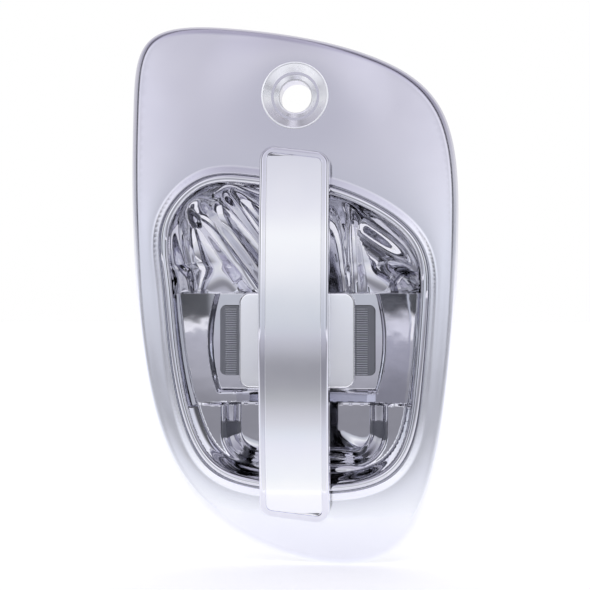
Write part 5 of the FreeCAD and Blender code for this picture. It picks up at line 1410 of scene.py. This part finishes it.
@dataclass
class Screws:
    """Cross-recess screws along Y, all with their heads behind.

    Args:
        name: The piece's name.
        node: The CAD node that they stand for.
        body: The body that they ride on.
        slot: Their material slot.
        head: Height of the head.
        shank: Radius of the shank.
        countersunk: Whether the head is a cone that tapers to the shank.
    """

    name: str
    node: str
    body: str
    slot: str
    head: float
    shank: float
    countersunk: bool = False

    def tree(self, finish: bpy.types.Material) -> tuple[bpy.types.NodeTree, dict[str, str]]:
        """Builds the screw's tree.

        Args:
            finish: The material it sets.

        Returns:
            The tree and its inputs' identifiers.
        """
        made = bpy.data.node_groups.new(self.name, "GeometryNodeTree")
        ids = tree_inputs(made, {"Head radius": 0.0028, "Rim radius": 0.0024, "Head height": 0.0018,
                                 "Shank radius": 0.00145, "Length": 0.006})
        source = add_node(made, "NodeGroupInput").outputs
        radius, tall = source["Head radius"], source["Head height"]
        head = add_node(made, "GeometryNodeMeshCone",
                        {"Vertices": 28, "Radius Top": source["Rim radius"], "Radius Bottom": radius,
                         "Depth": tall}).outputs["Mesh"]
        cut = add_node(made, "GeometryNodeMeshBoolean", {"Mesh 1": head}, operation="DIFFERENCE")
        # Shares of the head: the cross's length and width, and the height of its arms' middle.
        shares = ((radius, 1.25), (radius, 0.26), (tall, 1.15))
        long, thin, top = (add_node(made, "ShaderNodeMath", {0: size, 1: share},
                                    operation="MULTIPLY").outputs[0] for size, share in shares)
        place = add_node(made, "ShaderNodeCombineXYZ", {"Z": top}).outputs[0]
        for first, second in ((long, thin), (thin, long)):
            size = add_node(made, "ShaderNodeCombineXYZ", {"X": first, "Y": second, "Z": tall}).outputs[0]
            box = add_node(made, "GeometryNodeMeshCube", {"Size": size}).outputs["Mesh"]
            arm = add_node(made, "GeometryNodeTransform", {"Geometry": box, "Translation": place})
            made.links.new(arm.outputs[0], cut.inputs["Mesh 2"])
        minus = add_node(made, "ShaderNodeMath", {0: source["Length"], 1: -0.5}, operation="MULTIPLY")
        down = add_node(made, "ShaderNodeCombineXYZ", {"Z": minus.outputs[0]}).outputs[0]
        shank = add_node(made, "GeometryNodeMeshCylinder",
                         {"Vertices": 20, "Radius": source["Shank radius"], "Depth": source["Length"]})
        lowered = add_node(made, "GeometryNodeTransform",
                           {"Geometry": shank.outputs["Mesh"], "Translation": down})
        both = add_node(made, "GeometryNodeJoinGeometry", {0: lowered.outputs[0]})
        made.links.new(cut.outputs["Mesh"], both.inputs[0])
        turned = add_node(made, "GeometryNodeTransform",
                          {"Geometry": both.outputs[0], "Rotation": (-math.pi / 2, 0.0, 0.0)}).outputs[0]
        spread_and_paint(made, source["Geometry"], turned, finish)
        return made, ids

    def build(self) -> None:
        """Makes the screws at the places of the CAD ones, dresses them and ties them to their body."""
        boxes = islands(self.node)
        low, high = boxes[0]
        radius = (high[0] - low[0]) / 2
        finish = dressed(ZINC_STEEL)
        made, ids = self.tree(finish)
        base, rim = (self.shank, radius) if self.countersunk else (radius, 0.85 * radius)
        values = {"Head radius": base, "Rim radius": rim, "Head height": self.head,
                  "Shank radius": self.shank, "Length": high[1] - self.head - low[1]}
        places = [((a[0] + b[0]) / 2, b[1] - self.head, (a[2] + b[2]) / 2) for a, b in boxes]
        piece = baked(self.name, places, made, {ids[k]: v * MM for k, v in values.items()}, finish)
        settle(piece, self.body, self.slot, self.node)


@dataclass
class LensFlutes:
    """Fine level flutes on the lens at both sides of the cap.

    Args:
        pitch: Distance from flute to flute.
        width: Width of a flute's crest, as a share of the pitch.
        spans: Where they start and end across, left and right of the cap.
        height: Height of the fluted field.
        proud: How far a flute stands out.
    """

    pitch: float = 1.05
    width: float = 0.45
    spans: tuple[tuple[float, float], ...] = ((-34.1, -29.0), (27.0, 32.7))
    height: float = 31.6
    proud: float = 0.36

    def build(self) -> None:
        """Makes the flutes, dresses them and ties them to their body."""
        finish = dressed(FLUTED_LENS)
        made = bpy.data.node_groups.new("lens_flutes", "GeometryNodeTree")
        ids = tree_inputs(made, {"Pitch": 0.0008, "Height": 0.0316, "Length": 0.0041, "Proud": 0.0002})
        source = add_node(made, "NodeGroupInput").outputs
        rows = add_node(made, "ShaderNodeMath", {0: source["Height"], 1: source["Pitch"]}, operation="DIVIDE")
        shares = ((source["Height"], -0.5), (source["Pitch"], self.width), (source["Proud"], 2.0))
        half, thick, deep = (add_node(made, "ShaderNodeMath", {0: size, 1: share},
                                      operation="MULTIPLY").outputs[0] for size, share in shares)
        start = add_node(made, "ShaderNodeCombineXYZ", {"Z": half}).outputs[0]
        step = add_node(made, "ShaderNodeCombineXYZ", {"Z": source["Pitch"]}).outputs[0]
        line = add_node(made, "GeometryNodeMeshLine",
                        {"Count": rows.outputs[0], "Start Location": start, "Offset": step}).outputs[0]
        bar = add_node(made, "GeometryNodeMeshCylinder", {"Vertices": 10, "Radius": 0.5, "Depth": 1.0})
        size = add_node(made, "ShaderNodeCombineXYZ", {"X": thick, "Y": deep, "Z": source["Length"]})
        shaped = add_node(made, "GeometryNodeTransform",
                          {"Geometry": bar.outputs["Mesh"], "Scale": size.outputs[0]})
        laid = add_node(made, "GeometryNodeTransform",
                        {"Geometry": shaped.outputs[0], "Rotation": (0.0, math.pi / 2, 0.0)}).outputs[0]
        column = add_node(made, "GeometryNodeInstanceOnPoints", {"Points": line, "Instance": laid}).outputs[0]
        spread_and_paint(made, source["Geometry"], column, finish)
        low, high = box_mm("lamp_lens")
        z = (low[2] + high[2]) / 2
        length = self.spans[0][1] - self.spans[0][0]
        places = [((a + b) / 2, low[1], z) for a, b in self.spans]
        values = {"Pitch": self.pitch, "Height": self.height, "Length": length, "Proud": self.proud}
        piece = baked("lens_flutes", places, made, {ids[k]: v * MM for k, v in values.items()}, finish)
        settle(piece, "escutcheon", "lens_clear")


# ---- Pieces whose shape is right already --------------------------------------------------------------
SLOT_FINISH: dict[str, Finish] = {
    "bezel_chrome": BEZEL_CHROME, "cup_chrome": CUP_CHROME, "bar_chrome": BAR_CHROME,
    "face_chrome": FACE_CHROME, "cap_chrome": CAP_CHROME, "cover_chrome": COVER_CHROME,
    "cast_alloy": CAST_ALLOY, "zinc_plated_steel": ZINC_STEEL, "ground_steel": GROUND_STEEL,
    "spring_steel": SPRING_STEEL, "stamped_steel": STAMPED_STEEL, "foam_rubber": FOAM_RUBBER,
    "black_rubber": MOULDED_RUBBER, "bush_plastic": ACETAL, "clip_plastic": GREEN_NYLON,
    "lens_clear": POLYCARBONATE, "lamp_white": WHITE_ABS, "board_green": SOLDER_MASK,
    "led_yellow": LED_PHOSPHOR, "resistor_black": CHIP_RESISTOR,
}


def dress_carried_nodes() -> None:
    """Gives every CAD node its finish, by the record's slot for it."""
    slots = {part["node"]: part["material_slot"] for part in frame["record"]["subparts"]}
    for name, node in frame["nodes"].items():
        finish = dressed(SLOT_FINISH[slots[name]])
        for place in node.material_slots:
            place.material = finish
        LOG.info("%s: %s", name, finish.name)


# ---- Studio -------------------------------------------------------------------------------------------
@dataclass
class Studio:
    """Pale floor, graded soft light from a big tent, and the camera.

    Args:
        sky: Elevation of the light in degrees and its colour, from below to above.
        turn: Angle round from turn_from in degrees, and how bright the tent is there.
        turn_from: Azimuth that the light is even about.
        backdrop: Colour of the tent behind the object.
        band: Distance in front of the object in millimetres and colour, for the card under the camera.
        card_width: Half width of the card.
        target: What the camera looks at, in millimetres.
        view: Azimuth and elevation of the camera in degrees.
        distance: Distance of the camera.
        lens: Focal length on a 36 mm sensor.
        floor: Half width of the floor in metres.
    """

    sky: tuple[tuple[float, str], ...] = (
        (-90, "#F4F4F8"), (-30, "#F1F1F9"), (-20, "#EBEBF5"), (-16, "#D5D5DD"), (-12, "#B1B2B7"),
        (-8, "#999AA2"), (-5, "#9F9FA8"), (-2, "#C7C7D3"), (0, "#CDD1DA"), (4.2, "#D9DCE3"),
        (8.3, "#EEEFF4"), (14.5, "#FAFBFD"), (18.5, "#E9E9F1"), (27, "#D9D9E3"), (40, "#C6C4D2"),
        (90, "#CFCDDA"))
    turn: tuple[tuple[float, float], ...] = (
        (0, 1.0), (3, 1.0), (6, 1.1), (10, 1.22), (18, 1.42), (29, 1.45), (34, 0.2), (50, 0.12), (57, 0.85),
        (84, 0.95), (180, 1.0))
    turn_from: float = -4.5
    backdrop: str = "#FFFFFF"
    band: tuple[tuple[float, str], ...] = (
        (-95, "#FFFFFF"), (-121, "#F3F5FA"), (-184, "#EBEBF5"), (-218, "#E2E6EF"), (-262, "#D5D5DD"),
        (-318, "#C8C8D0"), (-393, "#B1B2B7"), (-498, "#A0A0A8"), (-655, "#9999A1"), (-916, "#9B9BA3"),
        (-1437, "#B6B6C0"), (-3000, "#C7C7D3"), (-6000, "#CDD1DA"))
    card_width: float = 2500.0
    target: Point = (-0.66, 0.0, -90.6)
    view: tuple[float, float] = (4.5, 0.0)
    distance: float = 700.0
    lens: float = 92.8
    floor: float = 6.0

    def tent(self) -> None:
        """Sets the world to the graded tent, with darker flags at both sides."""
        world = bpy.data.worlds.new("studio_tent")
        bpy.context.scene.world = world
        world.use_nodes = True
        tree = world.node_tree
        tree.nodes.clear()
        ray = add_node(tree, "ShaderNodeTexCoord").outputs["Generated"]
        parts = add_node(tree, "ShaderNodeSeparateXYZ", {0: ray}).outputs
        rise = add_node(tree, "ShaderNodeMath", {0: parts["Z"]}, operation="ARCSINE").outputs[0]
        share = add_node(tree, "ShaderNodeMapRange",
                         {"Value": rise, "From Min": -math.pi / 2, "From Max": math.pi / 2}).outputs[0]
        ramp = add_node(tree, "ShaderNodeValToRGB", {0: share})
        fill_ramp(ramp.color_ramp, [((angle + 90) / 180, linear(code)) for angle, code in self.sky])
        toward = add_node(tree, "ShaderNodeMath", {0: parts["Y"], 1: -1.0}, operation="MULTIPLY").outputs[0]
        turn = add_node(tree, "ShaderNodeMath", {0: parts["X"], 1: toward}, operation="ARCTAN2").outputs[0]
        off = add_node(tree, "ShaderNodeMath", {0: turn, 1: math.radians(self.turn_from)},
                       operation="SUBTRACT")
        away = add_node(tree, "ShaderNodeMath", {0: off.outputs[0]}, operation="ABSOLUTE").outputs[0]
        part = add_node(tree, "ShaderNodeMath", {0: away, 1: 1 / math.pi}, operation="MULTIPLY").outputs[0]
        bright = add_node(tree, "ShaderNodeValToRGB", {0: part})
        # A ramp holds 0 to 1, so the levels go in at half and come out doubled.
        fill_ramp(bright.color_ramp, [(angle / 180, (level / 2, level / 2, level / 2, 1.0))
                                      for angle, level in self.turn])
        dim = add_node(tree, "ShaderNodeMath", {0: bright.outputs[0], 1: 2.0},
                       operation="MULTIPLY").outputs[0]
        behind = add_node(tree, "ShaderNodeMapRange",
                          {"Value": parts["Y"], "From Min": -0.05, "From Max": 0.3},
                          interpolation_type="SMOOTHSTEP").outputs[0]
        front = add_node(tree, "ShaderNodeBackground", {"Color": ramp.outputs[0], "Strength": dim}).outputs[0]
        sweep = add_node(tree, "ShaderNodeBackground", {"Color": linear(self.backdrop)}).outputs[0]
        both = add_node(tree, "ShaderNodeMixShader", {0: behind, 1: front, 2: sweep}).outputs[0]
        add_node(tree, "ShaderNodeOutputWorld", {"Surface": both})

    def card(self, floor_z: float) -> None:
        """Lays a graded grey card on the floor, which the bright faces mirror as a soft band.

        Args:
            floor_z: Height of the floor in metres.
        """
        paint = bpy.data.materials.new("graded_grey_card")
        paint.use_nodes = True
        tree = paint.node_tree
        tree.nodes.clear()
        place = add_node(tree, "ShaderNodeTexCoord").outputs["Object"]
        reach = add_node(tree, "ShaderNodeSeparateXYZ", {0: place}).outputs["Y"]
        first, last = self.band[0][0] * MM, self.band[-1][0] * MM
        share = add_node(tree, "ShaderNodeMapRange",
                         {"Value": reach, "From Min": first, "From Max": last}).outputs[0]
        ramp = add_node(tree, "ShaderNodeValToRGB", {0: share})
        fill_ramp(ramp.color_ramp, [((y * MM - first) / (last - first), linear(code))
                                    for y, code in self.band])
        glow = add_node(tree, "ShaderNodeEmission", {"Color": ramp.outputs[0]}).outputs[0]
        add_node(tree, "ShaderNodeOutputMaterial", {"Surface": glow})
        width = self.card_width * MM
        self.sheet("graded_card", (-width, width), (last, first), floor_z + MM, paint)

    def sheet(self, name: str, across: tuple[float, float], along: tuple[float, float], z: float,
              paint: bpy.types.Material) -> None:
        """Adds a level sheet of the studio.

        Args:
            name: Its name.
            across: Its lowest and highest x in metres.
            along: Its lowest and highest y in metres.
            z: Its height in metres.
            paint: Its material.
        """
        mesh = bpy.data.meshes.new(name)
        mesh.from_pydata([(across[0], along[0], z), (across[1], along[0], z), (across[1], along[1], z),
                          (across[0], along[1], z)], [], [(0, 1, 2, 3)])
        mesh.materials.append(paint)
        made = bpy.data.objects.new(name, mesh)
        bpy.context.scene.collection.objects.link(made)
        made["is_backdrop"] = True

    def build(self) -> None:
        """Sets up the floor, the light and the camera."""
        self.tent()
        low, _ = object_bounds()
        half = self.floor
        self.sheet("studio_floor", (-half, half), (-half, half), low[2], dressed(STUDIO_PAINT))
        self.card(low[2])
        bearing, height = (math.radians(a) for a in self.view)
        lens = bpy.data.cameras.new("product_camera")
        lens.lens = self.lens
        lens.sensor_width = 36.0
        lens.clip_start = 0.01
        camera = bpy.data.objects.new("product_camera", lens)
        bpy.context.scene.collection.objects.link(camera)
        aim = Vector(self.target) * MM
        away = Vector((math.sin(bearing) * math.cos(height), -math.cos(bearing) * math.cos(height),
                       math.sin(height)))
        camera.location = aim + away * self.distance * MM
        camera.rotation_euler = (-away).to_track_quat("-Z", "Y").to_euler()
        bpy.context.scene.camera = camera
        bpy.context.scene.view_settings.view_transform = "Standard"


# ---- Outlines shared by the bezel and the cup ---------------------------------------------------------
PLATE = Outline(((-76, -58), (-75, -3), (-74, 35), (-23, 32), (33, 22), (73, -1), (75, -59), (71, -130),
                 (60, -207), (18, -218), (-38, -199), (-69, -156)), -108.0)
MOUTH = Outline(((-56, -83), (-61, -58), (-41, -36), (-14, -42), (16, -42), (58, -64), (57, -93),
                 (54, -135), (48, -178), (-11, -176), (-43, -170), (-54, -122)), -108.0)


def main() -> None:
    """Builds the dressed handle and reports each piece."""
    logging.basicConfig(level=logging.INFO, format="%(message)s", stream=sys.stdout)
    Bezel(PLATE, MOUTH).build()
    Cup(MOUTH).build()
    GrabBar().build()
    LampCap().build()
    LensFlutes().build()
    Screws("bezel_screws", "frame_screws", "escutcheon", "zinc_plated_steel", 1.35, 1.45, True).build()
    Screws("strap_screws", "cup_screws", "escutcheon", "zinc_plated_steel", 1.8, 1.45).build()
    Screws("cover_screws", "handle_screws", "grab_bar", "zinc_plated_steel", 1.1, 1.45).build()
    Screws("tray_screws", "lamp_screws", "escutcheon", "zinc_plated_steel", 1.3, 1.1).build()
    dress_carried_nodes()
    Studio().build()


if __name__ == "__main__":
    main()
